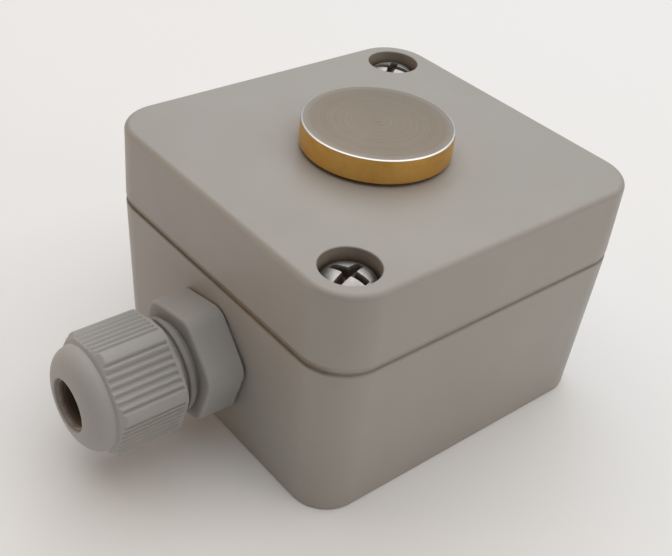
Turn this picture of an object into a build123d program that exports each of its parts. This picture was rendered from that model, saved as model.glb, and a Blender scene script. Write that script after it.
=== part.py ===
from build123d import *
import math
import os

# Pedestrian push button: a moulded two-part case with a brass push button on the lid and a cable
# gland on one side. Millimetres, +Z up. The origin is the centre of the wall face, the button is
# on the Z axis, and the gland leaves along -X.

# ---- case ----
CASE_LENGTH = 52.0
CASE_WIDTH = 50.0
CASE_HEIGHT = 35.0
CASE_CORNER = 6.4
DRAFT_INSET = 1.0
RIM_Z = 23.5
SEAM_GAP = 0.35
SEAM_DEPTH = 0.7
SPLIT_Z = RIM_Z + SEAM_GAP
FLOOR = 2.8
LID_TOP_ROUND = 0.85
LID_LOW_ROUND = 0.45
LID_PLATE = 3.0
LID_UNDER_Z = CASE_HEIGHT - LID_PLATE
BASE_EDGE_ROUND = 0.3

# ---- cavity, a rectangle less a block round each screw ----
CAVITY_HALF_X = 22.4
CAVITY_HALF_Y = 21.4
SCREW_X = 20.0
SCREW_Y = 19.0
PILLAR_RADIUS = 6.6
CAVITY_END_ROUND = 0.8
LIP = 0.6
GROOVE_WIDTH = 1.5
GROOVE_FLOOR_Z = 22.0
GASKET_HEIGHT = 1.2
GASKET_PLAY = 0.05

# ---- lid screws and inserts ----
WELL_RADIUS = 3.75
WELL_FLOOR_Z = 31.2
SCREW_CLEARANCE_RADIUS = 2.5
SCREW_RADIUS = 1.93
SCREW_TIP_Z = 13.0
HEAD_RADIUS = 3.4
HEAD_RIM = 1.6
HEAD_DOME = 1.1
DOME_BEND_OUT = 0.62
DOME_BEND_UP = 0.66
CROSS_WIDTH = 0.95
CROSS_SPAN = 4.7
CROSS_DEPTH = 1.7
CROSS_TURN = {(-1, -1): 15.0, (1, 1): 35.0}
INSERT_RADIUS = 2.8
INSERT_BORE = 1.97
INSERT_LENGTH = 8.0
INSERT_TOP_Z = 23.4
INSERT_PLAY = 0.02
WAIST_DEPTH = 0.3
WAIST_HEIGHT = 1.0
SCREW_POINT = 0.5

# ---- wall fixing, on the other diagonal ----
WALL_HOLE_RADIUS = 2.15
WALL_WELL_RADIUS = 3.8
LID_CORE_TOP_Z = 30.5

# ---- button ----
BUTTON_RADIUS = 10.2
BUTTON_GAP = 0.5
BUTTON_THICKNESS = 3.4
FACE_THICKNESS = 0.35
FACE_ROUND = 0.22
HEAD_Z = CASE_HEIGHT + BUTTON_GAP
FACE_Z = HEAD_Z + BUTTON_THICKNESS - FACE_THICKNESS
STEM_RADIUS = 3.0
STEM_TIP_Z = 22.6
PIP_RADIUS = 0.35
PIP_DEPTH = 0.12
HEAD_EDGE = 0.15
STEM_EDGE = 0.4

# ---- guide bush ----
BUSH_FLANGE_RADIUS = 8.0
BUSH_FLANGE = 1.0
BUSH_RADIUS = 5.95
BUSH_END_Z = 25.0
GUIDE_TOP_Z = 29.0
GUIDE_RADIUS = 3.05
SPRING_WELL_RADIUS = 4.7
RECESS_RADIUS = 8.1
BUSH_HOLE_RADIUS = 6.1
BUSH_GASKET = 0.4
BUSH_NUT_ACROSS_FLATS = 14.0
BUSH_NUT_HEIGHT = 3.0
NUT_BORE_RADIUS = 6.0
O_RING_Z = 27.0
O_RING_WIRE = 0.38
O_RING_MEAN = 2.64
CLIP_TOP_Z = BUSH_END_Z - 0.05
CLIP_THICKNESS = 0.5
CLIP_RADIUS = 4.4
CLIP_GROOVE_RADIUS = 2.4
CLIP_MOUTH = 4.2
CLIP_PLAY = 0.02
O_RING_PLAY = 0.02

# ---- return spring ----
SPRING_MEAN = 4.15
SPRING_WIRE = 0.3
SPRING_TURNS = 4.0
SPRING_PLAY = 0.03

# ---- board and switch ----
BOARD_LENGTH = 32.0
BOARD_WIDTH = 24.0
BOARD_Z = 13.4
BOARD_THICKNESS = 1.6
BOARD_CORNER = 1.5
BOARD_TOP_Z = BOARD_Z + BOARD_THICKNESS
BOSS_X = 13.0
BOSS_Y = 9.0
BOSS_RADIUS = 2.6
BOSS_BORE = 1.25
BOARD_HOLE = 1.35
BOARD_SCREW_RADIUS = 1.2
BOARD_SCREW_HEAD = 2.3
BOARD_SCREW_HEAD_HEIGHT = 1.5
BOARD_SCREW_TIP_Z = 7.0
BOARD_SCREW_ROUND = 0.6
SLOT_WIDTH = 0.6
SLOT_DEPTH = 0.8
SLOT_REACH = 3.0
SWITCH_SIDE = 12.0
SWITCH_TOP_Z = 18.5
SWITCH_WELL_RADIUS = 3.7
SWITCH_WELL_Z = 16.3
SWITCH_CORNER = 0.6
COVER_SETBACK = 0.3
COVER_CORNER = 0.9
COVER_THICKNESS = 0.4
COVER_HOLE_RADIUS = 3.2
KEY_SHOULDER_RADIUS = 3.55
KEY_RADIUS = 3.1
KEY_SIDE = 3.8
KEY_CORNER = 0.4
KEY_NECK = 0.9
KEY_PLAY = 0.1
KEY_TIP_Z = STEM_TIP_Z - 0.05
DOME_RADIUS = 3.3
DOME_HEIGHT = 0.6
DOME_SHEET = 0.12

# ---- terminal block ----
TERMINAL_LENGTH = 7.6
TERMINAL_WIDTH = 10.2
TERMINAL_HEIGHT = 9.5
TERMINAL_CENTRE_X = -11.0
TERMINAL_PITCH = 5.08
ENTRY_WIDTH = 3.5
ENTRY_LOW_Z = BOARD_TOP_Z + 1.2
ENTRY_HEIGHT = 4.2
ENTRY_DEPTH = 5.6
TERMINAL_SCREW_RADIUS = 1.7
TERMINAL_WELL_RADIUS = 1.85
TERMINAL_SCREW_LENGTH = 3.6
TERMINAL_SCREW_NECK_RADIUS = 1.25
TERMINAL_SCREW_NECK = 1.6
TERMINAL_EDGE = 1.2
CLAMP_LENGTH = 3.4
CLAMP_WALL = 0.5
CLAMP_ROOF = 1.1
CLAMP_BORE = 1.3
CLAMP_PLAY = 0.1

# ---- cable gland, an M12 x 1.5 ----
GLAND_Y = -0.4
GLAND_Z = 12.6
GLAND_FLATS = 15.0
GLAND_CORNER_ROUND = 2.6
GLAND_TURN = 42.0
GLAND_BACK_X = -26.1
GLAND_HEX_FRONT_X = -31.2
GLAND_THREAD_RADIUS = 5.95
GLAND_HOLE_RADIUS = 6.1
GLAND_THREAD_END_X = -18.6
GLAND_BORE = 3.5
NECK_RADIUS = 6.0
COLLAR_RADIUS = 6.35
COLLAR_BACK_X = -31.9
COLLAR_FRONT_X = -32.7
CLAW_START_X = -39.2
CLAW_TIP_X = -42.7
CLAW_RADIUS = 5.3
CLAW_COUNT = 8
CLAW_SLOT = 0.8
SEAL_CHAMBER_X = -35.2
SEAL_CHAMBER_RADIUS = 4.65
SEAL_RADIUS = 4.55
SEAL_BORE = 3.25
SEAL_BACK_X = -37.0
SEAL_FRONT_X = -44.3
GLAND_GASKET_RADIUS = 7.3
LOCKNUT_FLATS = 15.0
LOCKNUT_THICKNESS = 2.8
LOCKNUT_CORNER_ROUND = 0.6
LOCKNUT_TURN = 30.0
HEX_EDGE = 0.3
THREAD_LEAD = 0.6
SEAL_EDGE = 0.4
SEAL_MOUTH = 0.3

# ---- dome nut of the gland ----
DOME_FLATS = 14.9
DOME_CORNER_ROUND = 2.86
BARREL_BACK_X = -33.75
BARREL_BACK_RADIUS = 7.25
BARREL_FRONT_X = -42.8
DOME_NUT_CORNER = 8.35
SHOULDER_X = -43.4
SHOULDER_RADIUS = 7.45
NOTCH_X = -43.65
NOTCH_RADIUS = 7.12
CROWN_X = -43.9
CROWN_RADIUS = 7.28
CROWN_BEND_X = -45.46
CROWN_BEND_RADIUS = 6.55
NOSE_X = -46.1
NOSE_RADIUS = 4.75
MOUTH_RADIUS = 3.6
DOME_THREAD_RADIUS = 6.08
DOME_CONE_X = -41.2
DOME_INNER_X = -44.35
DOME_INNER_RADIUS = 5.45
BARREL_EDGE = 0.45
MOUTH_LEAD = 0.4
GRIP_COUNT = 7
GRIP_PITCH = 1.02
GRIP_DEPTH = 0.35
GRIP_HALF_WIDTH = 0.36
GRIP_BACK_X = -34.42
GRIP_FRONT_X = -43.6
GRIP_CUTTER_RISE = 0.2


# ---------------------------------------------------------------- helpers
def disc(radius, low_z, high_z, at=(0.0, 0.0)):
    """An upright cylinder between two heights."""
    height = high_z - low_z
    return Pos(at[0], at[1], low_z + height / 2) * Cylinder(radius, height)


def ring(outer, inner, low_z, high_z, at=(0.0, 0.0)):
    """An upright tube between two heights."""
    return disc(outer, low_z, high_z, at) - disc(inner, low_z - 1, high_z + 1, at)


def block(low, high):
    """A box from its lowest corner to its highest."""
    size = [b - a for a, b in zip(low, high)]
    middle = [(a + b) / 2 for a, b in zip(low, high)]
    return Pos(*middle) * Box(*size)


def rounded_plate(length, width, radius, low_z, high_z):
    """A plate with rounded upright corners."""
    outline = Plane.XY.offset(low_z) * RectangleRounded(length, width, radius)
    return extrude(outline, high_z - low_z)


def cavity_outline(grow):
    """The plus-shaped cavity seen from above, offset outwards by grow."""
    block_x = SCREW_X - PILLAR_RADIUS
    block_y = SCREW_Y - PILLAR_RADIUS
    outline = Rectangle(2 * CAVITY_HALF_X, 2 * block_y) + Rectangle(2 * block_x, 2 * CAVITY_HALF_Y)
    corners = outline.vertices()
    inner = [v for v in corners if abs(abs(v.X) - block_x) < 0.1 and abs(abs(v.Y) - block_y) < 0.1]
    outline = fillet(inner, PILLAR_RADIUS)
    ends = [
        v
        for v in outline.vertices()
        if abs(abs(v.X) - CAVITY_HALF_X) < 0.1 or abs(abs(v.Y) - CAVITY_HALF_Y) < 0.1
    ]
    outline = fillet(ends, CAVITY_END_ROUND)
    if grow:
        outline = offset(outline, grow)
    return outline


def cavity_prism(grow, low_z, high_z):
    """The cavity outline between two heights."""
    return extrude(Plane.XY.offset(low_z) * cavity_outline(grow), high_z - low_z)


def spun_on_gland(half_section):
    """A solid of revolution about the gland's axis, from a face drawn as (x, radius)."""
    face = Plane.XZ.offset(-GLAND_Y) * Pos(0, GLAND_Z) * half_section
    return revolve(face, Axis((0, GLAND_Y, GLAND_Z), (1, 0, 0)))


def along_gland(profile_points):
    """A solid of revolution about the gland's axis, from (x, radius) points."""
    return spun_on_gland(make_face(Polyline(*profile_points, close=True)))


def gland_tube(outer, inner, back_x, front_x):
    """A tube on the gland's axis."""
    return along_gland([(back_x, inner), (back_x, outer), (front_x, outer), (front_x, inner)])


def gland_rod(radius, back_x, front_x):
    """A rod on the gland's axis."""
    return gland_tube(radius, 0.0, back_x, front_x)


def gland_hexagon(flats, corner_round, back_x, front_x, turn=GLAND_TURN):
    """A hexagonal prism on the gland's axis, one flat turned from -Y towards +Z."""
    outline = RegularPolygon(flats / 2, 6, major_radius=False)
    if corner_round:
        outline = fillet(outline.vertices(), corner_round)
    facing = Plane(origin=(back_x, GLAND_Y, GLAND_Z), x_dir=(0, -1, 0), z_dir=(-1, 0, 0))
    flat_angle = 30.0
    return extrude(facing * Rot(0, 0, turn - flat_angle) * outline, back_x - front_x)


def screw_places():
    """The two lid screws' signs."""
    return [(-1, -1), (1, 1)]


def wall_fixing_places():
    """The two wall screws' signs."""
    return [(1, -1), (-1, 1)]


def corner_at(signs):
    """The centre of a screw from its two signs."""
    return (signs[0] * SCREW_X, signs[1] * SCREW_Y)


def boss_places():
    """The four board bosses."""
    return [(sx * BOSS_X, sy * BOSS_Y) for sx in (-1, 1) for sy in (-1, 1)]


# ---------------------------------------------------------------- case
def outer_base():
    """The tapered outside of the base, solid."""
    foot = RectangleRounded(
        CASE_LENGTH - 2 * DRAFT_INSET, CASE_WIDTH - 2 * DRAFT_INSET, CASE_CORNER - DRAFT_INSET
    )
    rim = Plane.XY.offset(RIM_Z) * RectangleRounded(CASE_LENGTH, CASE_WIDTH, CASE_CORNER)
    return loft([foot, rim], ruled=True)


def make_base():
    """The lower shell with its pillars, bosses, groove and holes."""
    shell = outer_base()
    bottom = shell.edges().group_by(Axis.Z)[0]
    shell = chamfer(bottom, BASE_EDGE_ROUND)
    shell += rounded_plate(
        CASE_LENGTH - 2 * SEAM_DEPTH,
        CASE_WIDTH - 2 * SEAM_DEPTH,
        CASE_CORNER - SEAM_DEPTH,
        RIM_Z - 1,
        SPLIT_Z,
    )
    shell -= cavity_prism(0, FLOOR, SPLIT_Z + 1)
    groove = cavity_prism(LIP + GROOVE_WIDTH, GROOVE_FLOOR_Z, SPLIT_Z + 1)
    shell -= groove - cavity_prism(LIP, GROOVE_FLOOR_Z - 1, SPLIT_Z + 2)
    for place in boss_places():
        shell += disc(BOSS_RADIUS, FLOOR - 1, BOARD_Z, place)
        shell -= disc(BOSS_BORE, BOARD_SCREW_TIP_Z - 1, BOARD_Z + 1, place)
    for signs in screw_places():
        place = corner_at(signs)
        shell -= disc(INSERT_RADIUS + INSERT_PLAY, INSERT_TOP_Z - INSERT_LENGTH, SPLIT_Z + 1, place)
        shell -= disc(SCREW_CLEARANCE_RADIUS, SCREW_TIP_Z - 1, SPLIT_Z, place)
    for signs in wall_fixing_places():
        place = corner_at(signs)
        shell -= disc(WALL_HOLE_RADIUS, -1, SPLIT_Z, place)
        shell -= disc(WALL_WELL_RADIUS, FLOOR, SPLIT_Z + 1, place)
    shell -= gland_rod(GLAND_HOLE_RADIUS, -CAVITY_HALF_X + 1, -CASE_LENGTH / 2 - 1)
    return shell


def make_lid():
    """The upper shell with its tongue, screw wells and the recess for the bush."""
    shell = rounded_plate(CASE_LENGTH, CASE_WIDTH, CASE_CORNER, SPLIT_Z, CASE_HEIGHT)
    shell = fillet(shell.edges().group_by(Axis.Z)[-1], LID_TOP_ROUND)
    shell = fillet(shell.edges().group_by(Axis.Z)[0], LID_LOW_ROUND)
    shell -= cavity_prism(LIP, SPLIT_Z - 1, LID_UNDER_Z)
    tongue_low = GROOVE_FLOOR_Z + GASKET_HEIGHT
    tongue = cavity_prism(LIP + GROOVE_WIDTH - GASKET_PLAY, tongue_low, SPLIT_Z + 0.5)
    shell += tongue - cavity_prism(LIP + GASKET_PLAY, tongue_low - 1, SPLIT_Z + 1)
    for signs in screw_places():
        place = corner_at(signs)
        shell -= disc(SCREW_CLEARANCE_RADIUS, SPLIT_Z - 1, CASE_HEIGHT, place)
        shell -= disc(WELL_RADIUS, WELL_FLOOR_Z, CASE_HEIGHT + 1, place)
    for signs in wall_fixing_places():
        shell -= disc(WALL_WELL_RADIUS, SPLIT_Z - 1, LID_CORE_TOP_Z, corner_at(signs))
    shell -= disc(BUSH_HOLE_RADIUS, LID_UNDER_Z - 1, CASE_HEIGHT + 1)
    shell -= disc(RECESS_RADIUS, CASE_HEIGHT - BUSH_FLANGE - BUSH_GASKET, CASE_HEIGHT + 1)
    return shell


def make_lid_gasket():
    """The seal that lies in the groove of the base."""
    top = GROOVE_FLOOR_Z + GASKET_HEIGHT
    outer = cavity_prism(LIP + GROOVE_WIDTH - GASKET_PLAY, GROOVE_FLOOR_Z, top)
    return outer - cavity_prism(LIP + GASKET_PLAY, GROOVE_FLOOR_Z - 1, top + 1)


def lid_screw(signs):
    """One raised-head screw with a cross recess."""
    rim_z = WELL_FLOOR_Z + HEAD_RIM
    top_z = rim_z + HEAD_DOME
    bend = (HEAD_RADIUS * DOME_BEND_OUT, rim_z + HEAD_DOME * DOME_BEND_UP)
    half_head = make_face(
        [
            Line((0, WELL_FLOOR_Z), (HEAD_RADIUS, WELL_FLOOR_Z)),
            Line((HEAD_RADIUS, WELL_FLOOR_Z), (HEAD_RADIUS, rim_z)),
            ThreePointArc((HEAD_RADIUS, rim_z), bend, (0, top_z)),
            Line((0, top_z), (0, WELL_FLOOR_Z)),
        ]
    )
    screw = revolve(Plane.XZ * half_head, Axis.Z)
    shank = disc(SCREW_RADIUS, SCREW_TIP_Z, WELL_FLOOR_Z)
    screw += chamfer(shank.edges().group_by(Axis.Z)[0], SCREW_POINT)
    for quarter in (0, 90):
        arm = Pos(0, 0, top_z - CROSS_DEPTH / 2) * Box(CROSS_SPAN, CROSS_WIDTH, CROSS_DEPTH)
        screw -= Rot(0, 0, CROSS_TURN[signs] + quarter) * arm
    return Pos(*corner_at(signs), 0) * screw


def screw_insert(signs):
    """One threaded brass insert with a waist groove."""
    low = INSERT_TOP_Z - INSERT_LENGTH
    insert = ring(INSERT_RADIUS, INSERT_BORE, low, INSERT_TOP_Z)
    waist = low + (INSERT_LENGTH - WAIST_HEIGHT) / 2
    insert -= ring(INSERT_RADIUS + 1, INSERT_RADIUS - WAIST_DEPTH, waist, waist + WAIST_HEIGHT)
    return Pos(*corner_at(signs), 0) * insert


# ---------------------------------------------------------------- button
def make_button_head():
    """The brass disc and its stem, turned in one piece."""
    head = disc(BUTTON_RADIUS, HEAD_Z, FACE_Z)
    head = chamfer(head.edges().group_by(Axis.Z)[0], HEAD_EDGE)
    stem = disc(STEM_RADIUS, STEM_TIP_Z, HEAD_Z + 0.5)
    stem = chamfer(stem.edges().group_by(Axis.Z)[0], STEM_EDGE)
    head += stem
    head -= ring(STEM_RADIUS + 1, CLIP_GROOVE_RADIUS, CLIP_TOP_Z - CLIP_THICKNESS, CLIP_TOP_Z)
    groove_half = O_RING_WIRE + O_RING_PLAY
    groove_radius = O_RING_MEAN - O_RING_WIRE - O_RING_PLAY / 2
    head -= ring(STEM_RADIUS + 1, groove_radius, O_RING_Z - groove_half, O_RING_Z + groove_half)
    return head


def make_face_plate():
    """The thin silver facing of the button, with the turning pip at its centre."""
    plate = disc(BUTTON_RADIUS, FACE_Z, FACE_Z + FACE_THICKNESS)
    plate = fillet(plate.edges().group_by(Axis.Z)[-1], FACE_ROUND)
    top = FACE_Z + FACE_THICKNESS
    pip = Cone(0.01, PIP_RADIUS, PIP_DEPTH, align=(Align.CENTER, Align.CENTER, Align.MAX))
    pip = Pos(0, 0, top) * pip
    return plate - pip


def make_stem_o_ring():
    """The O-ring in the groove of the stem."""
    return Pos(0, 0, O_RING_Z) * Torus(O_RING_MEAN, O_RING_WIRE)


def make_stem_clip():
    """The open retaining clip under the bush."""
    low = CLIP_TOP_Z - CLIP_THICKNESS
    clip = ring(CLIP_RADIUS, CLIP_GROOVE_RADIUS + CLIP_PLAY, low, CLIP_TOP_Z)
    half = CLIP_MOUTH / 2
    return clip - block((0, -half, low - 1), (CLIP_RADIUS + 1, half, CLIP_TOP_Z + 1))


def make_guide_bush():
    """The flanged bush, with the spring's well above the guide bore."""
    bush = disc(BUSH_FLANGE_RADIUS, CASE_HEIGHT - BUSH_FLANGE, CASE_HEIGHT)
    bush += disc(BUSH_RADIUS, BUSH_END_Z, CASE_HEIGHT - BUSH_FLANGE)
    bush -= disc(GUIDE_RADIUS, BUSH_END_Z - 1, CASE_HEIGHT)
    bush -= disc(SPRING_WELL_RADIUS, GUIDE_TOP_Z, CASE_HEIGHT + 1)
    return bush


def make_bush_nut():
    """The hexagon nut under the lid plate."""
    nut = extrude(
        Plane.XY.offset(LID_UNDER_Z - BUSH_NUT_HEIGHT)
        * RegularPolygon(BUSH_NUT_ACROSS_FLATS / 2, 6, major_radius=False),
        BUSH_NUT_HEIGHT,
    )
    return nut - disc(NUT_BORE_RADIUS, BUSH_END_Z, CASE_HEIGHT)


def make_return_spring():
    """The coil spring between the guide bore's shoulder and the disc."""
    low = GUIDE_TOP_Z + SPRING_WIRE + SPRING_PLAY
    high = HEAD_Z - SPRING_WIRE - SPRING_PLAY
    pitch = (high - low) / SPRING_TURNS
    path = Pos(0, 0, low) * Helix(pitch, high - low, SPRING_MEAN)
    section = Plane(origin=path @ 0, z_dir=path % 0) * Circle(SPRING_WIRE)
    return sweep(section, path, is_frenet=True)


# ---------------------------------------------------------------- switch and board
def make_switch_base():
    """The moulded body of the switch, with the well for dome and key."""
    half = SWITCH_SIDE / 2
    body = block((-half, -half, BOARD_TOP_Z), (half, half, SWITCH_TOP_Z))
    body = chamfer(body.edges().filter_by(Axis.Z), SWITCH_CORNER)
    return body - disc(SWITCH_WELL_RADIUS, SWITCH_WELL_Z, SWITCH_TOP_Z + 1)


def make_switch_cover():
    """The sheet metal cover that holds the key in."""
    half = SWITCH_SIDE / 2 - COVER_SETBACK
    top = SWITCH_TOP_Z + COVER_THICKNESS
    cover = block((-half, -half, SWITCH_TOP_Z), (half, half, top))
    cover = chamfer(cover.edges().filter_by(Axis.Z), COVER_CORNER)
    return cover - disc(COVER_HOLE_RADIUS, SWITCH_TOP_Z - 1, top + 1)


def make_switch_plunger():
    """The key: a shoulder under the cover, a round neck and a square head."""
    shoulder_top = SWITCH_TOP_Z - KEY_PLAY
    shoulder_low = SWITCH_WELL_Z + DOME_HEIGHT + KEY_PLAY
    key = disc(KEY_SHOULDER_RADIUS, shoulder_low, shoulder_top)
    key += disc(KEY_RADIUS, shoulder_top, SWITCH_TOP_Z + COVER_THICKNESS + KEY_NECK)
    half = KEY_SIDE / 2
    head = block((-half, -half, shoulder_top), (half, half, KEY_TIP_Z))
    return key + chamfer(head.edges().filter_by(Axis.Z), KEY_CORNER)


def make_switch_dome():
    """The snap dome under the key."""
    rise = DOME_HEIGHT - DOME_SHEET
    sphere_radius = (DOME_RADIUS**2 + rise**2) / (2 * rise)
    centre_z = SWITCH_WELL_Z + rise - sphere_radius
    cap = Pos(0, 0, centre_z) * Sphere(sphere_radius + DOME_SHEET)
    cap -= Pos(0, 0, centre_z) * Sphere(sphere_radius)
    keep = disc(DOME_RADIUS, SWITCH_WELL_Z + 0.01, SWITCH_WELL_Z + DOME_HEIGHT + 1)
    return cap & keep


def make_circuit_board():
    """The board with its four screw holes."""
    board = rounded_plate(BOARD_LENGTH, BOARD_WIDTH, BOARD_CORNER, BOARD_Z, BOARD_TOP_Z)
    for place in boss_places():
        board -= disc(BOARD_HOLE, BOARD_Z - 1, BOARD_TOP_Z + 1, place)
    return board


def driver_slot(top):
    """The cutter for a screwdriver slot along X in a head whose top is at that height."""
    half = SLOT_WIDTH / 2
    return block((-SLOT_REACH, -half, top - SLOT_DEPTH), (SLOT_REACH, half, top + 1))


def board_screw(place):
    """One slotted board screw."""
    top = BOARD_TOP_Z + BOARD_SCREW_HEAD_HEIGHT
    head = disc(BOARD_SCREW_HEAD, BOARD_TOP_Z, top)
    head = fillet(head.edges().group_by(Axis.Z)[-1], BOARD_SCREW_ROUND)
    head += disc(BOARD_SCREW_RADIUS, BOARD_SCREW_TIP_Z, BOARD_TOP_Z)
    head -= driver_slot(top)
    return Pos(place[0], place[1], 0) * head


# ---------------------------------------------------------------- terminals
def terminal_places():
    """The two wire entries' positions across the block."""
    return [-TERMINAL_PITCH / 2, TERMINAL_PITCH / 2]


def make_terminal_block():
    """The two-way housing, open towards the gland and at the top over each screw."""
    low_x = TERMINAL_CENTRE_X - TERMINAL_LENGTH / 2
    top = BOARD_TOP_Z + TERMINAL_HEIGHT
    half = TERMINAL_WIDTH / 2
    housing = block((low_x, -half, BOARD_TOP_Z), (low_x + TERMINAL_LENGTH, half, top))
    long_edges = housing.edges().filter_by(Axis.Y).group_by(Axis.Z)[-1]
    housing = chamfer(long_edges, TERMINAL_EDGE)
    for y in terminal_places():
        housing -= block(
            (low_x - 1, y - ENTRY_WIDTH / 2, ENTRY_LOW_Z),
            (low_x + ENTRY_DEPTH, y + ENTRY_WIDTH / 2, ENTRY_LOW_Z + ENTRY_HEIGHT),
        )
        housing -= disc(TERMINAL_WELL_RADIUS, ENTRY_LOW_Z + 1, top + 1, (TERMINAL_CENTRE_X, y))
    return housing


def terminal_clamp(y):
    """One clamp cage, a square tube with a threaded roof."""
    half = ENTRY_WIDTH / 2 - CLAMP_PLAY
    low = ENTRY_LOW_Z + CLAMP_PLAY
    high = ENTRY_LOW_Z + ENTRY_HEIGHT - CLAMP_PLAY
    x_low = TERMINAL_CENTRE_X - CLAMP_LENGTH / 2
    x_high = TERMINAL_CENTRE_X + CLAMP_LENGTH / 2
    cage = block((x_low, y - half, low), (x_high, y + half, high))
    window = block(
        (x_low - 1, y - half + CLAMP_WALL, low + CLAMP_WALL),
        (x_high + 1, y + half - CLAMP_WALL, high - CLAMP_ROOF),
    )
    bore = disc(CLAMP_BORE, high - 2 * CLAMP_ROOF, high + 1, (TERMINAL_CENTRE_X, y))
    return cage - window - bore


def terminal_screw(y):
    """One slotted terminal screw standing in its well."""
    low = ENTRY_LOW_Z + ENTRY_HEIGHT
    high = low + TERMINAL_SCREW_LENGTH
    screw = disc(TERMINAL_SCREW_RADIUS, low, high, (TERMINAL_CENTRE_X, y))
    screw += disc(TERMINAL_SCREW_NECK_RADIUS, low - TERMINAL_SCREW_NECK, low, (TERMINAL_CENTRE_X, y))
    return screw - Pos(TERMINAL_CENTRE_X, y, 0) * driver_slot(high)


# ---------------------------------------------------------------- gland
def make_gland_body():
    """Entry thread, hexagon flange, neck with its collar, and claws, hollow throughout."""
    body = gland_hexagon(GLAND_FLATS, GLAND_CORNER_ROUND, GLAND_BACK_X, GLAND_HEX_FRONT_X)
    body = chamfer(body.faces().sort_by(Axis.X)[0].edges(), HEX_EDGE)
    body += along_gland(
        [
            (GLAND_THREAD_END_X, 0),
            (GLAND_THREAD_END_X, GLAND_THREAD_RADIUS - THREAD_LEAD),
            (GLAND_THREAD_END_X - THREAD_LEAD, GLAND_THREAD_RADIUS),
            (GLAND_BACK_X - 1, GLAND_THREAD_RADIUS),
            (GLAND_BACK_X - 1, 0),
        ]
    )
    body += along_gland(
        [
            (GLAND_BACK_X - 1, 0),
            (GLAND_BACK_X - 1, NECK_RADIUS),
            (COLLAR_BACK_X, NECK_RADIUS),
            (COLLAR_BACK_X, COLLAR_RADIUS),
            (COLLAR_FRONT_X, COLLAR_RADIUS),
            (COLLAR_FRONT_X, NECK_RADIUS),
            (CLAW_START_X, NECK_RADIUS),
            (CLAW_START_X, CLAW_RADIUS),
            (CLAW_TIP_X, CLAW_RADIUS),
            (CLAW_TIP_X, 0),
        ]
    )
    body -= gland_rod(GLAND_BORE, GLAND_THREAD_END_X + 1, CLAW_TIP_X - 1)
    body -= gland_rod(SEAL_CHAMBER_RADIUS, SEAL_CHAMBER_X, CLAW_TIP_X - 1)
    slot = block(
        (CLAW_TIP_X - 1, -CLAW_SLOT / 2, SEAL_CHAMBER_RADIUS - 1),
        (CLAW_START_X - 0.2, CLAW_SLOT / 2, CLAW_RADIUS + 1),
    )
    for index in range(CLAW_COUNT):
        turned = Rot(index * 360 / CLAW_COUNT, 0, 0) * slot
        body -= Pos(0, GLAND_Y, GLAND_Z) * turned
    return body


def make_gland_gasket():
    """The washer between the hexagon and the sloping case wall."""
    washer = gland_tube(GLAND_GASKET_RADIUS, GLAND_HOLE_RADIUS, -CASE_LENGTH / 2 + 1.5, GLAND_BACK_X)
    return washer - outer_base()


def make_gland_locknut():
    """The nut inside the case."""
    back = -CAVITY_HALF_X + LOCKNUT_THICKNESS
    nut = gland_hexagon(LOCKNUT_FLATS, LOCKNUT_CORNER_ROUND, back, -CAVITY_HALF_X, LOCKNUT_TURN)
    return nut - gland_rod(NUT_BORE_RADIUS, back + 1, -CAVITY_HALF_X - 1)


def make_gland_seal():
    """The rubber insert that grips the cable."""
    return along_gland(
        [
            (SEAL_BACK_X, SEAL_BORE),
            (SEAL_BACK_X, SEAL_RADIUS),
            (SEAL_FRONT_X + SEAL_EDGE, SEAL_RADIUS),
            (SEAL_FRONT_X, SEAL_RADIUS - SEAL_EDGE),
            (SEAL_FRONT_X, SEAL_BORE + SEAL_MOUTH),
            (SEAL_FRONT_X + SEAL_MOUTH, SEAL_BORE),
        ]
    )


def grip_groove(offset_across):
    """One V groove along a flat of the dome nut, at the flat that faces +Z."""
    flat = DOME_FLATS / 2
    spread = GRIP_HALF_WIDTH * (GRIP_DEPTH + GRIP_CUTTER_RISE) / GRIP_DEPTH
    section = Polyline(
        (-spread, flat + GRIP_CUTTER_RISE),
        (spread, flat + GRIP_CUTTER_RISE),
        (0, flat - GRIP_DEPTH),
        close=True,
    )
    facing = Plane(origin=(GRIP_BACK_X, 0, 0), x_dir=(0, 1, 0), z_dir=(-1, 0, 0))
    upright = Rot(0, 0, 180) * Pos(offset_across, 0) * make_face(section)
    return extrude(facing * upright, GRIP_BACK_X - GRIP_FRONT_X)


def dome_nut_outside():
    """The round shape that trims the dome nut's hexagon: edges, notch and dome."""
    sides = Polyline(
        (NOSE_X, NOSE_RADIUS),
        (NOSE_X, 0),
        (BARREL_BACK_X, 0),
        (BARREL_BACK_X, BARREL_BACK_RADIUS),
        (BARREL_BACK_X - BARREL_EDGE, DOME_NUT_CORNER),
        (BARREL_FRONT_X, DOME_NUT_CORNER),
        (SHOULDER_X, SHOULDER_RADIUS),
        (NOTCH_X, NOTCH_RADIUS),
        (CROWN_X, CROWN_RADIUS),
    )
    dome = ThreePointArc(
        (CROWN_X, CROWN_RADIUS),
        (CROWN_BEND_X, CROWN_BEND_RADIUS),
        (NOSE_X, NOSE_RADIUS),
    )
    return spun_on_gland(make_face(sides + dome))


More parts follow.
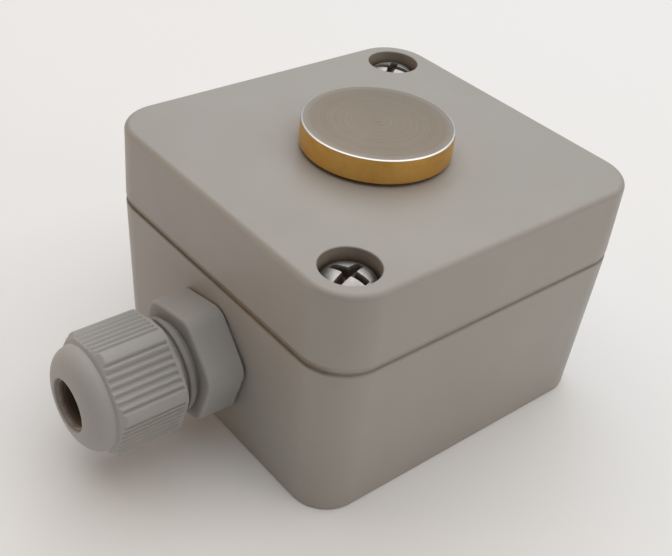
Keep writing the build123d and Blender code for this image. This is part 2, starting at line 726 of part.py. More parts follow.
def make_gland_nut():
    """The dome nut: rounded hexagon barrel, grooved flats, a notch and a full dome."""
    hexagon = gland_hexagon(DOME_FLATS, DOME_CORNER_ROUND, BARREL_BACK_X, NOSE_X)
    nut = hexagon & dome_nut_outside()
    for index in range(GRIP_COUNT):
        across = (index - (GRIP_COUNT - 1) / 2) * GRIP_PITCH
        groove = grip_groove(across)
        for side in range(6):
            angle = GLAND_TURN - 90 + side * 60
            nut -= Pos(0, GLAND_Y, GLAND_Z) * Rot(-angle, 0, 0) * groove
    nut -= along_gland(
        [
            (BARREL_BACK_X + 1, 0),
            (BARREL_BACK_X + 1, DOME_THREAD_RADIUS),
            (DOME_CONE_X, DOME_THREAD_RADIUS),
            (DOME_INNER_X, DOME_INNER_RADIUS),
            (DOME_INNER_X, MOUTH_RADIUS),
            (NOSE_X + MOUTH_LEAD, MOUTH_RADIUS),
            (NOSE_X - 0.1, MOUTH_RADIUS + MOUTH_LEAD + 0.1),
            (NOSE_X - 0.1, 0),
        ]
    )
    return nut


# ---------------------------------------------------------------- write
def group(pieces, label):
    """Several equal pieces in one node."""
    return Compound(label=label, children=[Solid(piece.solids()[0].wrapped) for piece in pieces])


NODES = {
    "base_box": make_base,
    "lid": make_lid,
    "lid_gasket": make_lid_gasket,
    "lid_screws": lambda: group([lid_screw(s) for s in screw_places()], "lid_screws"),
    "screw_inserts": lambda: group([screw_insert(s) for s in screw_places()], "screw_inserts"),
    "button_head": make_button_head,
    "button_face_plate": make_face_plate,
    "stem_o_ring": make_stem_o_ring,
    "stem_clip": make_stem_clip,
    "guide_bush": make_guide_bush,
    "bush_gasket": lambda: ring(
        BUSH_FLANGE_RADIUS,
        BUSH_HOLE_RADIUS,
        CASE_HEIGHT - BUSH_FLANGE - BUSH_GASKET,
        CASE_HEIGHT - BUSH_FLANGE,
    ),
    "bush_nut": make_bush_nut,
    "return_spring": make_return_spring,
    "switch_base": make_switch_base,
    "switch_cover": make_switch_cover,
    "switch_plunger": make_switch_plunger,
    "switch_dome": make_switch_dome,
    "circuit_board": make_circuit_board,
    "board_screws": lambda: group([board_screw(p) for p in boss_places()], "board_screws"),
    "terminal_block": make_terminal_block,
    "terminal_clamps": lambda: group([terminal_clamp(y) for y in terminal_places()], "terminal_clamps"),
    "terminal_screws": lambda: group([terminal_screw(y) for y in terminal_places()], "terminal_screws"),
    "gland_body": make_gland_body,
    "gland_gasket": make_gland_gasket,
    "gland_locknut": make_gland_locknut,
    "gland_seal": make_gland_seal,
    "gland_nut": make_gland_nut,
}

os.makedirs("parts", exist_ok=True)
for name, make in NODES.items():
    piece = make()
    export_step(piece, f"parts/{name}.step")
    print(name, len(piece.solids()), round(piece.volume, 1))
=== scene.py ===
import math

import bmesh
import bpy
import numpy as np
from mathutils import Matrix, Vector


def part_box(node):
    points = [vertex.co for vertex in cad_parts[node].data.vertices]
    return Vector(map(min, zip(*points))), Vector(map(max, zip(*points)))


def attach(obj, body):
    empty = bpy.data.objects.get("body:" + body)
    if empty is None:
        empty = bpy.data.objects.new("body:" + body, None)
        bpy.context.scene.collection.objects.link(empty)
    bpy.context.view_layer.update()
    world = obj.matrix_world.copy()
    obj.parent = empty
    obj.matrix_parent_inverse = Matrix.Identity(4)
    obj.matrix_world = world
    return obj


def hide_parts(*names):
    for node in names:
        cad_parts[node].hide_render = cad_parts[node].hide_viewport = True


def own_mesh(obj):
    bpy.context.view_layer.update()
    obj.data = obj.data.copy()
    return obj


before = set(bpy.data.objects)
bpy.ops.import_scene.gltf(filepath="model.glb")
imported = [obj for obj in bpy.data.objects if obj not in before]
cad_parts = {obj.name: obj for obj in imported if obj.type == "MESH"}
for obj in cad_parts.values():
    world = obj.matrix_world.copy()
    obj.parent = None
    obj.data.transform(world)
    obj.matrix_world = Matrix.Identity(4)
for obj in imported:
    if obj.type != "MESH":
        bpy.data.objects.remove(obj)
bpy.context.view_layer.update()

# Lengths below are millimetres, turned into metres when a mesh is made.
MM = 0.001


def size_of(node):
    """Lowest and highest corners of a CAD node, in millimetres."""
    low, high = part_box(node)
    return low / MM, high / MM


BASE_HIGH = size_of("base_box")[1]
LID_LOW, LID_HIGH = size_of("lid")
DISC_LOW, DISC_HIGH = size_of("button_head")
FACE_HIGH = size_of("button_face_plate")[1]
SCREWS_LOW, SCREWS_HIGH = size_of("lid_screws")
NUT_LOW = size_of("gland_nut")[0]
FLANGE_HIGH = size_of("gland_body")[1]
INSERT_LOW, INSERT_HIGH = size_of("gland_seal")
BOARD_LOW = size_of("circuit_board")[0]

# ---- case ----
HALF_X = LID_HIGH.x
HALF_Y = LID_HIGH.y
CORNER = 6.4
DRAFT = 1.0
SPLIT_Z = BASE_HIGH.z
SEAM_DEPTH = 0.3
SEAM_GAP = 0.35
RIM_Z = SPLIT_Z - SEAM_GAP
LID_LOW_ROUND = 0.9
RIM_ROUND = 0.29
TOP_Z = LID_HIGH.z
TOP_ROUND = 0.85
FLOOR_Z = 2.8
LID_PLATE = 3.0
LID_UNDER_Z = TOP_Z - LID_PLATE
CAVITY_X = 22.4
CAVITY_Y = 21.4
PILLAR = 6.6
CAVITY_END = 0.8
LIP = 0.6
GROOVE = 1.5
GROOVE_FLOOR_Z = 22.0
TONGUE_Z = LID_LOW.z
PLAY = 0.05
HEAD_RADIUS = 3.4
SCREW_X = SCREWS_HIGH.x - HEAD_RADIUS
SCREW_Y = SCREWS_HIGH.y - HEAD_RADIUS
LID_SCREW_CORNERS = ((-SCREW_X, -SCREW_Y), (SCREW_X, SCREW_Y))
WALL_SCREW_CORNERS = ((SCREW_X, -SCREW_Y), (-SCREW_X, SCREW_Y))
WELL_RADIUS = 3.75
WELL_FLOOR_Z = 31.2
WELL_EDGE = 0.18
WELL_FLOOR_ROUND = 0.25
WELL_WALL_START = 0.4
WELL_WALL_END = 0.2
CLEARANCE = 2.5
CORE_RADIUS = 3.8
CORE_TOP_Z = 30.5
WALL_HOLE = 2.15
INSERT_HOLE = 2.82
INSERT_FLOOR_Z = 15.4
SCREW_TIP_Z = SCREWS_LOW.z
BUSH_HOLE = 6.1
BUSH_RECESS = 8.1
BUSH_RECESS_Z = 33.6
BUSH_RECESS_EDGE = 0.12
BOSS_X = 13.0
BOSS_Y = 9.0
BOSS_RADIUS = 2.6
BOSS_BORE = 1.25
BOSS_FLOOR_Z = 6.0
BOSS_FOOT = 0.4
EJECTOR_RADIUS = 2.5
EJECTOR_X = 12.0
EJECTOR_Y = 11.0
EJECTOR_DEPTH = 0.07
EJECTOR_EDGE = 0.05
BASE_EDGE = 0.3
RIM_CHAMFER = 0.1
WALL_HOLE_EDGE = 0.15
BLIND_HOLE_END = 1.0

# ---- gland ----
GLAND_Y = (INSERT_LOW.y + INSERT_HIGH.y) / 2
GLAND_Z = (INSERT_LOW.z + INSERT_HIGH.z) / 2
GLAND_TURN = math.radians(42.0)
GLAND_HOLE = 6.1
DRILL_OUTSIDE = 2.0
DRILL_INSIDE = 1.0

# ---- counts of points round a circle and along a rounded edge ----
COARSE = 48
MEDIUM = 96
DISC_COUNT = 256
ROUND_STEPS = 6

FULL_TURN = 2 * math.pi
QUARTER = math.pi / 2


# ---- outlines ----
def angles_round(count):
    """Evenly spaced angles round a full turn."""
    return [FULL_TURN * i / count for i in range(count)]


def arc(centre, radius, start, end, steps):
    """Points of an arc, angles in degrees, both ends included."""
    angles = np.radians(np.linspace(start, end, steps + 1))
    return [(centre[0] + radius * math.cos(a), centre[1] + radius * math.sin(a)) for a in angles]


def circle(centre, radius, count=COARSE):
    """A closed ring of points."""
    return arc(centre, radius, 0, 360, count)[:-1]


def box_outline(inset, steps=14):
    """The case's rounded rectangle, pulled in by inset."""
    radius = CORNER - inset
    cx = HALF_X - CORNER
    cy = HALF_Y - CORNER
    points = []
    for turn, (sx, sy) in enumerate(((1, 1), (-1, 1), (-1, -1), (1, -1))):
        points += arc((sx * cx, sy * cy), radius, 90 * turn, 90 * turn + 90, steps)
    return points


def cavity_outline(grow, steps=10):
    """The plus-shaped cavity, a rectangle less a round-nosed block at each screw."""
    nose = PILLAR - grow
    end = CAVITY_END + grow
    side = (CAVITY_X - CAVITY_END, SCREW_Y - PILLAR - CAVITY_END)
    top = (SCREW_X - PILLAR - CAVITY_END, CAVITY_Y - CAVITY_END)
    quarter = arc(side, end, 0, 90, 4)
    quarter += arc((SCREW_X, SCREW_Y), nose, 270, 180, steps)
    quarter += arc(top, end, 0, 90, 4)
    mirrored = [(-x, y) for x, y in reversed(quarter)]
    lower = [(-x, -y) for x, y in quarter]
    lower_mirrored = [(x, -y) for x, y in reversed(quarter)]
    return quarter + mirrored + lower + lower_mirrored


NEARLY_STRAIGHT = math.radians(176)
SHARE_OF_SIDE = 0.48


def soften(profile, radius, steps):
    """Rounds the inner corners of an open polyline of 2-D points."""
    points = [Vector(p) for p in profile]
    out = [points[0]]
    for before, corner, after in zip(points, points[1:], points[2:]):
        a = (before - corner).normalized()
        b = (after - corner).normalized()
        cos_angle = max(-1.0, min(1.0, a.dot(b)))
        angle = math.acos(cos_angle)
        if angle > NEARLY_STRAIGHT:
            out.append(corner)
            continue
        reach = radius / math.tan(angle / 2)
        shorter = min((before - corner).length, (after - corner).length)
        reach = min(reach, SHARE_OF_SIDE * shorter)
        actual = reach * math.tan(angle / 2)
        middle = corner + (a + b).normalized() * (actual / math.sin(angle / 2))
        start = corner + a * reach - middle
        turn = start.angle_signed(corner + b * reach - middle)
        for step in range(steps + 1):
            spin = Matrix.Rotation(-turn * step / steps, 2)
            out.append(middle + spin @ start)
    out.append(points[-1])
    return [tuple(p) for p in out]


# ---- mesh builder ----
class Builder:
    """Gathers rings, strips and flat caps in millimetres, and welds them into one closed mesh."""

    def __init__(self):
        self.mesh = bmesh.new()

    def ring(self, points):
        """Adds a closed ring of 3-D points and gives its vertices."""
        return [self.mesh.verts.new(p) for p in points]

    def flat(self, outline, z):
        """Adds a 2-D outline at a height."""
        return self.ring([(x, y, z) for x, y in outline])

    def strip(self, a, b):
        """Quads between two rings of the same count."""
        count = len(a)
        for i in range(count):
            j = (i + 1) % count
            self.mesh.faces.new((a[i], a[j], b[j], b[i]))

    def strips(self, rings):
        """Quads along a list of rings."""
        for a, b in zip(rings, rings[1:]):
            self.strip(a, b)

    def spokes(self, ring, tip):
        """Triangles from a ring to a vertex."""
        for i in range(len(ring)):
            self.mesh.faces.new((ring[i], ring[(i + 1) % len(ring)], tip))

    def fan(self, ring, point):
        """Triangles from a ring to a new point."""
        self.spokes(ring, self.mesh.verts.new(point))

    def stack(self, outline, profile):
        """A wall of rings, outline(size) at each (size, height) of a profile."""
        rings = [self.flat(outline(size), z) for size, z in profile]
        self.strips(rings)
        return rings

    def column(self, centre, profile, count=COARSE):
        """A wall of circles on an upright axis, from a profile of (radius, height)."""
        return self.stack(lambda radius: circle(centre, radius, count), profile)

    def blind_hole(self, centre, profile):
        """A column closed at its last circle; gives its first circle."""
        rings = self.column(centre, profile)
        self.fan(rings[-1], (*centre, profile[-1][1]))
        return rings[0]

    def cap(self, *rings):
        """A flat face bounded by the first ring, with the others as holes."""
        edges = []
        for ring in rings:
            for i in range(len(ring)):
                pair = (ring[i], ring[(i + 1) % len(ring)])
                edges.append(self.mesh.edges.get(pair) or self.mesh.edges.new(pair))
        bmesh.ops.triangle_fill(self.mesh, use_beauty=True, use_dissolve=False, edges=edges)

    def lathe(self, profile, place, count, closed=False):
        """Turns a profile of (radius, along); place(radius, angle, along) gives each point."""
        rings = []
        angles = angles_round(count)
        for radius, along in profile:
            if radius < 1e-6:
                rings.append(self.mesh.verts.new(place(0.0, 0.0, along)))
            else:
                rings.append(self.ring([place(radius, a, along) for a in angles]))
        pairs = list(zip(rings, rings[1:]))
        if closed:
            pairs.append((rings[-1], rings[0]))
        for a, b in pairs:
            if isinstance(a, list) and isinstance(b, list):
                self.strip(a, b)
            elif isinstance(a, list):
                self.spokes(a, b)
            elif isinstance(b, list):
                self.spokes(b, a)
        return rings

    def finish(self, name, weld=0.0004):
        """Welds, turns the faces outwards, and makes the object in metres."""
        bmesh.ops.remove_doubles(self.mesh, verts=self.mesh.verts, dist=weld)
        bmesh.ops.recalc_face_normals(self.mesh, faces=self.mesh.faces)
        bmesh.ops.scale(self.mesh, vec=(MM, MM, MM), verts=self.mesh.verts)
        data = bpy.data.meshes.new(name)
        self.mesh.to_mesh(data)
        self.mesh.free()
        obj = bpy.data.objects.new(name, data)
        bpy.context.scene.collection.objects.link(obj)
        return obj


def smooth(obj, degrees):
    """Smooth shading with sharp edges by angle and area-weighted normals."""
    data = obj.data
    data.shade_smooth()
    data.set_sharp_from_angle(angle=math.radians(degrees))
    weighted = obj.modifiers.new("normals", "WEIGHTED_NORMAL")
    weighted.keep_sharp = True


def paint(obj, value_at):
    """Stores how much painted shade each vertex gets, from a function of its place in millimetres.
    """
    layer = obj.data.attributes.new("painted_shade", "FLOAT", "POINT")
    values = [value_at(*(v.co / MM)) for v in obj.data.vertices]
    layer.data.foreach_set("value", values)
    return obj


def upright(centre):
    """A lathe's place function for an upright axis."""
    return lambda r, a, h: (centre[0] + r * math.cos(a), centre[1] + r * math.sin(a), h)


def on_gland(r, a, x):
    """A lathe's place function for the gland's axis; the angle runs from -Y towards +Z."""
    return (x, GLAND_Y - r * math.cos(a), GLAND_Z + r * math.sin(a))


# ---- case meshes ----
def edge_round(radius, steps=ROUND_STEPS):
    """(inset, drop) pairs round a quarter turn, from the flat face to the side."""
    angles = [QUARTER * step / steps for step in range(steps + 1)]
    return [(radius * (1 - math.sin(a)), radius * (1 - math.cos(a))) for a in angles]


def build_lid():
    """The lid: rounded top edge, screw wells, bush recess, tongue and hollow underside."""
    b = Builder()
    profile = [(inset, TOP_Z - drop) for inset, drop in edge_round(TOP_ROUND, 10)]
    for across, up in reversed(edge_round(1.0, 8)):
        profile.append((across * SEAM_DEPTH, SPLIT_Z + up * LID_LOW_ROUND))
    outer = b.stack(box_outline, profile)
    wells = []
    through = []
    wall_heights = np.linspace(TOP_Z - WELL_WALL_START, HEAD_RIM_Z - WELL_WALL_END, 6)
    for centre in LID_SCREW_CORNERS:
        profile = [(WELL_RADIUS + out, TOP_Z - drop) for out, drop in edge_round(WELL_EDGE)]
        profile += [(WELL_RADIUS, z) for z in wall_heights]
        for inset, rise in reversed(edge_round(WELL_FLOOR_ROUND, 4)):
            profile.append((WELL_RADIUS - inset, WELL_FLOOR_Z + rise))
        profile += [(CLEARANCE, WELL_FLOOR_Z), (CLEARANCE, SPLIT_Z)]
        rings = b.column(centre, profile)
        wells.append(rings[0])
        through.append(rings[-1])
    profile = [(BUSH_RECESS + out, TOP_Z - drop) for out, drop in edge_round(BUSH_RECESS_EDGE, 3)]
    profile += [(BUSH_RECESS, BUSH_RECESS_Z), (BUSH_HOLE, BUSH_RECESS_Z), (BUSH_HOLE, LID_UNDER_Z)]
    recess = b.column((0, 0), profile, MEDIUM)
    b.cap(outer[0], recess[0], *wells)
    profile = [
        (LIP, LID_UNDER_Z),
        (LIP, SPLIT_Z),
        (LIP + PLAY, SPLIT_Z),
        (LIP + PLAY, TONGUE_Z),
        (LIP + GROOVE - PLAY, TONGUE_Z),
        (LIP + GROOVE - PLAY, SPLIT_Z),
    ]
    inside = b.stack(cavity_outline, profile)
    b.cap(inside[0], recess[-1])
    core = [(CORE_RADIUS, SPLIT_Z), (CORE_RADIUS, CORE_TOP_Z)]
    cores = [b.blind_hole(centre, core) for centre in WALL_SCREW_CORNERS]
    b.cap(outer[-1], inside[-1], *through, *cores)
    return b.finish("case_lid")


def drafted(inset, z):
    """An inset and height on the base's drafted outside."""
    return (inset + DRAFT * (1 - z / RIM_Z), z)


def build_base():
    """The base: drafted walls, seam land, gasket groove, pillars, bosses and a marked back."""
    b = Builder()
    profile = [drafted(inset, rise) for inset, rise in edge_round(BASE_EDGE)]
    profile += [drafted(inset, RIM_Z - drop) for inset, drop in reversed(edge_round(RIM_ROUND, 4))]
    profile += [(SEAM_DEPTH, RIM_Z), (SEAM_DEPTH, SPLIT_Z - RIM_CHAMFER)]
    profile += [(SEAM_DEPTH + RIM_CHAMFER, SPLIT_Z)]
    outer = b.stack(box_outline, profile)
    profile = [
        (LIP + GROOVE, SPLIT_Z),
        (LIP + GROOVE, GROOVE_FLOOR_Z),
        (LIP, GROOVE_FLOOR_Z),
        (LIP, SPLIT_Z),
        (0, SPLIT_Z),
        (0, FLOOR_Z),
    ]
    inside = b.stack(cavity_outline, profile)
    insert_hole = [
        (INSERT_HOLE, SPLIT_Z),
        (INSERT_HOLE, INSERT_FLOOR_Z),
        (CLEARANCE, INSERT_FLOOR_Z),
        (CLEARANCE, SCREW_TIP_Z - BLIND_HOLE_END),
    ]
    tops = [b.blind_hole(centre, insert_hole) for centre in LID_SCREW_CORNERS]
    wall_screw_hole = [
        (CORE_RADIUS, SPLIT_Z),
        (CORE_RADIUS, FLOOR_Z),
        (WALL_HOLE, FLOOR_Z),
        (WALL_HOLE, WALL_HOLE_EDGE),
        (WALL_HOLE + WALL_HOLE_EDGE, 0),
    ]
    back_holes = []
    for centre in WALL_SCREW_CORNERS:
        well = b.column(centre, wall_screw_hole)
        tops.append(well[0])
        back_holes.append(well[-1])
    b.cap(outer[-1], inside[0], *tops)
    boss = [
        (BOSS_RADIUS + BOSS_FOOT, FLOOR_Z),
        (BOSS_RADIUS, FLOOR_Z + BOSS_FOOT),
        (BOSS_RADIUS, BOARD_LOW.z),
        (BOSS_BORE, BOARD_LOW.z),
        (BOSS_BORE, BOSS_FLOOR_Z),
    ]
    ejector_mark = [(EJECTOR_RADIUS + EJECTOR_EDGE, 0), (EJECTOR_RADIUS, EJECTOR_DEPTH)]
    feet = []
    for sx in (-1, 1):
        for sy in (-1, 1):
            feet.append(b.blind_hole((sx * BOSS_X, sy * BOSS_Y), boss))
            back_holes.append(b.blind_hole((sx * EJECTOR_X, sy * EJECTOR_Y), ejector_mark))
    b.cap(inside[-1], *feet)
    b.cap(outer[0], *back_holes)
    base = b.finish("case_base")
    outside_end = -HALF_X - DRILL_OUTSIDE
    inside_end = -CAVITY_X + DRILL_INSIDE
    rod = [(0, outside_end), (GLAND_HOLE, outside_end), (GLAND_HOLE, inside_end), (0, inside_end)]
    drill = Builder()
    drill.lathe(rod, on_gland, 64)
    return cut_away(base, drill.finish("gland_hole_cutter"))


def cut_away(obj, cutter):
    """Takes the cutter out of an object, keeps the result as its mesh, and removes the cutter."""
    cut = obj.modifiers.new("cut", "BOOLEAN")
    cut.object = cutter
    cut.operation = "DIFFERENCE"
    cut.solver = "EXACT"
    bpy.context.view_layer.update()
    graph = bpy.context.evaluated_depsgraph_get()
    data = bpy.data.meshes.new_from_object(obj.evaluated_get(graph))
    obj.modifiers.clear()
    old = obj.data
    obj.data = data
    bpy.data.meshes.remove(old)
    bpy.data.objects.remove(cutter)
    return obj


# ---- lid screws ----
CROSS_TURNS = {"front": math.radians(16.4), "rear": math.radians(35.0)}
HEAD_TOP_Z = 34.2
HEAD_RIM_Z = 32.95
SHANK_RADIUS = 1.93
CROSS_REACH = 2.5
CROSS_HALF = 0.6
CROSS_DEEP = 1.7
CROSS_SHALLOW = 0.9
CROSS_WALL_SLOPE = 9.0
CROSS_TAPER = 0.06
CROSS_END_SLOPE = 0.7
CROSS_SPREAD = 0.04
BOWL_RADIUS = 0.9
BOWL_SLOPE = 3.2
CROWN_POWER = 2.3
CROWN_SHAPE = 0.62
HEAD_EDGE = 0.25
HEAD_UNDER_ROUND = 0.2
HEAD_CENTRE = 0.06
HEAD_RINGS = 54
SCREW_COUNT = 160
SCREW_PITCH = 0.7
SCREW_THREAD = 0.38
STEPS_PER_TURN = 8


def head_height(radius):
    """The raised head's profile."""
    share = min(1.0, radius / HEAD_RADIUS)
    return HEAD_RIM_Z + (HEAD_TOP_Z - HEAD_RIM_Z) * (1 - share**CROWN_POWER) ** CROWN_SHAPE


def cross_depth(x, y):
    """Depth of the cross recess below the head's surface at a point."""
    depth = 0.0
    for along, across in ((abs(x), abs(y)), (abs(y), abs(x))):
        half = CROSS_HALF - CROSS_TAPER * along
        inside = min(half - across, (CROSS_REACH - along) * CROSS_END_SLOPE)
        limit = CROSS_DEEP - (CROSS_DEEP - CROSS_SHALLOW) * along / CROSS_REACH
        wall = max(0.0, (inside + CROSS_SPREAD) * CROSS_WALL_SLOPE)
        depth = max(depth, limit * (1 - math.exp(-((wall / limit) ** 2))))
    bowl = max(0.0, (BOWL_RADIUS - math.hypot(x, y)) * BOWL_SLOPE)
    return max(depth, min(bowl, CROSS_DEEP))


def build_screw(name, centre, turn):
    """One lid screw: domed head with a cross recess, threaded shank."""
    b = Builder()
    count = SCREW_COUNT
    rings = []
    radii = list(np.linspace(HEAD_CENTRE, HEAD_RADIUS - HEAD_EDGE, HEAD_RINGS))
    radii += [HEAD_RADIUS - HEAD_EDGE * (1 - math.sin(a)) for a in np.linspace(0, QUARTER, 9)[1:]]
    cos_turn = math.cos(turn)
    sin_turn = math.sin(turn)
    for radius in radii:
        ring = []
        for a in angles_round(count):
            x = radius * math.cos(a)
            y = radius * math.sin(a)
            across = centre[0] + x * cos_turn - y * sin_turn
            along = centre[1] + x * sin_turn + y * cos_turn
            ring.append((across, along, head_height(radius) - cross_depth(x, y)))
        rings.append(b.ring(ring))
    b.strips(rings)
    b.fan(rings[0], (*centre, head_height(0) - cross_depth(0, 0)))
    place = upright(centre)
    under = [(HEAD_RADIUS, HEAD_RIM_Z), (HEAD_RADIUS, WELL_FLOOR_Z), (SHANK_RADIUS, WELL_FLOOR_Z)]
    lower = b.lathe(soften(under, HEAD_UNDER_ROUND, 3)[1:], place, count)
    b.strip(rings[-1], lower[0])
    thread_top = WELL_FLOOR_Z - 1
    length = thread_top - SCREW_TIP_Z
    thread = []
    steps = int(length / SCREW_PITCH * STEPS_PER_TURN)
    for step in range(steps + 1):
        z = thread_top - length * step / steps
        fade = min(1.0, (steps - step) / STEPS_PER_TURN, step / STEPS_PER_TURN)
        ring = []
        for a in angles_round(count):
            phase = (z / SCREW_PITCH - a / FULL_TURN) % 1.0
            depth = abs(2 * phase - 1) * fade
            ring.append(place(SHANK_RADIUS - SCREW_THREAD * depth, a, z))
        thread.append(b.ring(ring))
    b.strip(lower[-1], thread[0])
    b.strips(thread)
    b.fan(thread[-1], (*centre, SCREW_TIP_Z))
    return b.finish(name, 0.0002)


# ---- button ----
FACE_EDGE = 0.3
FACE_EDGE_DROP = 0.11
FACE_EDGE_TILT = math.radians(38.0)
FACE_UNDERLAP = 0.02
FACE_SINK = 0.006
FACE_RINGS = 200
PIP_RADIUS = 0.3
STEM_RADIUS = 3.0
HEAD_UNDER_Z = 35.5
DISC_EDGE = 0.12
CLIP_TOP_Z = 24.95
CLIP_LOW_Z = 24.45
CLIP_GROOVE = 2.4
O_RING_TOP_Z = 27.4
O_RING_LOW_Z = 26.6
O_RING_GROOVE = 2.25


def build_disc():
    """The brass disc with its stem."""
    radius = DISC_HIGH.x
    top = FACE_HIGH.z - FACE_EDGE_DROP
    profile = [
        (radius, top),
        (radius, HEAD_UNDER_Z),
        (STEM_RADIUS, HEAD_UNDER_Z),
        (STEM_RADIUS, O_RING_TOP_Z),
        (O_RING_GROOVE, O_RING_TOP_Z),
        (O_RING_GROOVE, O_RING_LOW_Z),
        (STEM_RADIUS, O_RING_LOW_Z),
        (STEM_RADIUS, CLIP_TOP_Z),
        (CLIP_GROOVE, CLIP_TOP_Z),
        (CLIP_GROOVE, CLIP_LOW_Z),
        (STEM_RADIUS, CLIP_LOW_Z),
        (STEM_RADIUS, DISC_LOW.z),
        (0, DISC_LOW.z),
    ]
    b = Builder()
    b.lathe([(0, top)] + soften(profile, DISC_EDGE, 4), upright((0, 0)), DISC_COUNT)
    return b.finish("button_disc")


def turning_ripple(r, radius):
    """Height of the turning marks at a radius: fine waves, and deeper ones towards the rim."""
    fine = 0.0012 * math.sin(r * 17.0) + 0.0009 * math.sin(r * 31.0 + 1.3)
    near_rim = max(0.0, r / radius - 0.55)
    deep = 0.004 * math.sin(r * 9.3) + 0.003 * math.sin(r * 23.0 + 0.4)
    return fine + near_rim * deep


def build_face():
    """The turned facing: a pip at the centre, fine turning steps and a tilted edge that carries a
    painted highlight.
    """
    radius = FACE_HIGH.x
    top = FACE_HIGH.z
    flat = top - FACE_SINK
    edge_start = radius - FACE_EDGE
    profile = [(0, top - 0.12), (0.06, top - 0.11), (0.17, top - 0.014), (PIP_RADIUS, flat)]
    for step in range(1, FACE_RINGS):
        r = PIP_RADIUS + (edge_start - PIP_RADIUS) * step / FACE_RINGS
        profile.append((r, flat + turning_ripple(r, radius)))
    edge_radius = FACE_EDGE / math.sin(FACE_EDGE_TILT)
    for step in range(9):
        tilt = FACE_EDGE_TILT * step / 8
        fall = edge_radius * (1 - math.cos(tilt))
        profile.append((edge_start + edge_radius * math.sin(tilt), flat - fall))
    under = top - FACE_EDGE_DROP - FACE_UNDERLAP
    profile += [(radius, under), (0, under)]
    b = Builder()
    b.lathe(profile, upright((0, 0)), DISC_COUNT)
    return b.finish("button_face", 0.0001)


SPRING_MEAN = 4.15
SPRING_WIRE = 0.3
SPRING_TURNS = 4.0
SPRING_STEPS = 48
WIRE_COUNT = 14


def build_spring():
    """The button's return spring: a round wire along a helix."""
    low, high = size_of("return_spring")
    start = low.z + SPRING_WIRE
    rise = high.z - low.z - 2 * SPRING_WIRE
    pitch = rise / SPRING_TURNS
    slope = math.atan2(pitch, FULL_TURN * SPRING_MEAN)
    b = Builder()
    rings = []
    steps = int(SPRING_TURNS * SPRING_STEPS)
    for step in range(steps + 1):
        turn = FULL_TURN * SPRING_TURNS * step / steps
        out = Vector((math.cos(turn), math.sin(turn), 0))
        level = Vector((-math.sin(turn), math.cos(turn), 0)) * math.cos(slope)
        along = level + Vector((0, 0, math.sin(slope)))
        middle = out * SPRING_MEAN + Vector((0, 0, start + rise * step / steps))
        side = along.cross(out)
        spokes = [math.cos(a) * out + math.sin(a) * side for a in angles_round(WIRE_COUNT)]
        rings.append(b.ring([middle + SPRING_WIRE * spoke for spoke in spokes]))
    b.strips(rings)
    b.cap(rings[0])
    b.cap(rings[-1])
    return b.finish("return_coil", 0.0002)


SNAP_SHEET = 0.12


def build_snap_dome():
    """The switch's snap dome: a shallow sprung cap."""
    low, high = size_of("switch_dome")
    edge = high.x
    rise = high.z - low.z - SNAP_SHEET
    inner = (edge**2 + rise**2) / (2 * rise)
    outer = inner + SNAP_SHEET
    middle = high.z - outer
    radii = np.linspace(0, edge, 16)
    outside = [(r, middle + math.sqrt(outer**2 - r * r)) for r in radii]
    inside = [(r, middle + math.sqrt(inner**2 - r * r)) for r in reversed(radii)]
    b = Builder()
    b.lathe(outside + inside, upright((0, 0)), MEDIUM)
    return b.finish("snap_dome", 0.0002)


# ---- gland meshes ----
def soft_min(a, b, width):
    """The smaller of two values, blended over a width."""
    blend = max(0.0, 1 - abs(a - b) / width)
    return min(a, b) - width * blend * blend / 4


HALF_SECTOR = math.pi / 6


def from_flat(angle):
    """Angle from the middle of the nearest flat, with one flat centred on GLAND_TURN."""
    return (angle - GLAND_TURN + HALF_SECTOR) % (2 * HALF_SECTOR) - HALF_SECTOR


def hexagon_radius(angle, flats, corner_round):
    """Distance from the axis to a rounded hexagon."""
    local = abs(from_flat(angle))
    half = flats / 2
    centre = (half - corner_round) / math.cos(HALF_SECTOR)
    flat_end = math.atan2(centre * math.sin(HALF_SECTOR), half)
    if local <= flat_end:
        return half / math.cos(local)
    off = HALF_SECTOR - local
    return centre * math.cos(off) + math.sqrt(corner_round**2 - (centre * math.sin(off)) ** 2)


def wrapped(b, levels, radius_at, count):
    """Rings round the gland's axis at the given x levels, with a radius for each angle."""
    angles = angles_round(count)
    return [b.ring([on_gland(radius_at(x, a), a, x) for a in angles]) for x in levels]


def round_rings(b, profile, count):
    """Plain round rings from a profile of (radius, x) points."""
    rings = []
    for radius, x in profile:
        rings += wrapped(b, [x], lambda _x, _a, r=radius: r, count)
    return rings


def interpolate(profile, x):
    """A piecewise linear profile of (x, radius) points, x falling."""
    for (x0, r0), (x1, r1) in zip(profile, profile[1:]):
        if x >= x1:
            share = (x - x0) / (x1 - x0) if x1 != x0 else 1.0
            return r0 + (r1 - r0) * share
    return profile[-1][1]


BARREL_BACK = -33.75
BARREL_FRONT = -42.5
NOSE = NUT_LOW.x - 0.18
BARREL_BACK_RADIUS = 7.25
BARREL_CORNER = 8.35
BARREL_EDGE = 0.45
SHOULDER_RADIUS = 7.42
SHOULDER_BACK = 0.72
NECK_IN_RADIUS = 6.93
NECK_IN_BACK = 0.95
NUT_FLATS = 14.9
NUT_ROUND = 2.86
NUT_COUNT = 900
NUT_BLEND = 0.16
NUT_SOFT = 0.2
GRIPS = 7
GRIP_PITCH = 1.02
GRIP_DEPTH = 0.38
GRIP_VALLEY = 1.15
GRIP_BACK = -34.35
GRIP_FRONT = -43.3
GRIP_RUN_OUT = 0.35
GRIP_SIDE = 0.3
GRIP_SIDE_POWER = 1.5
DOME_BASE = 6.95
DOME_LENGTH = 2.75
NOSE_RADIUS = 3.62
MOUTH_RADIUS = 3.42
MOUTH_EDGE = 0.08
MOUTH_STRAIGHT = 0.25
NUT_SEAT_X = -44.35
NUT_SEAT_RADIUS = 5.45
NUT_THREAD_X = -41.2
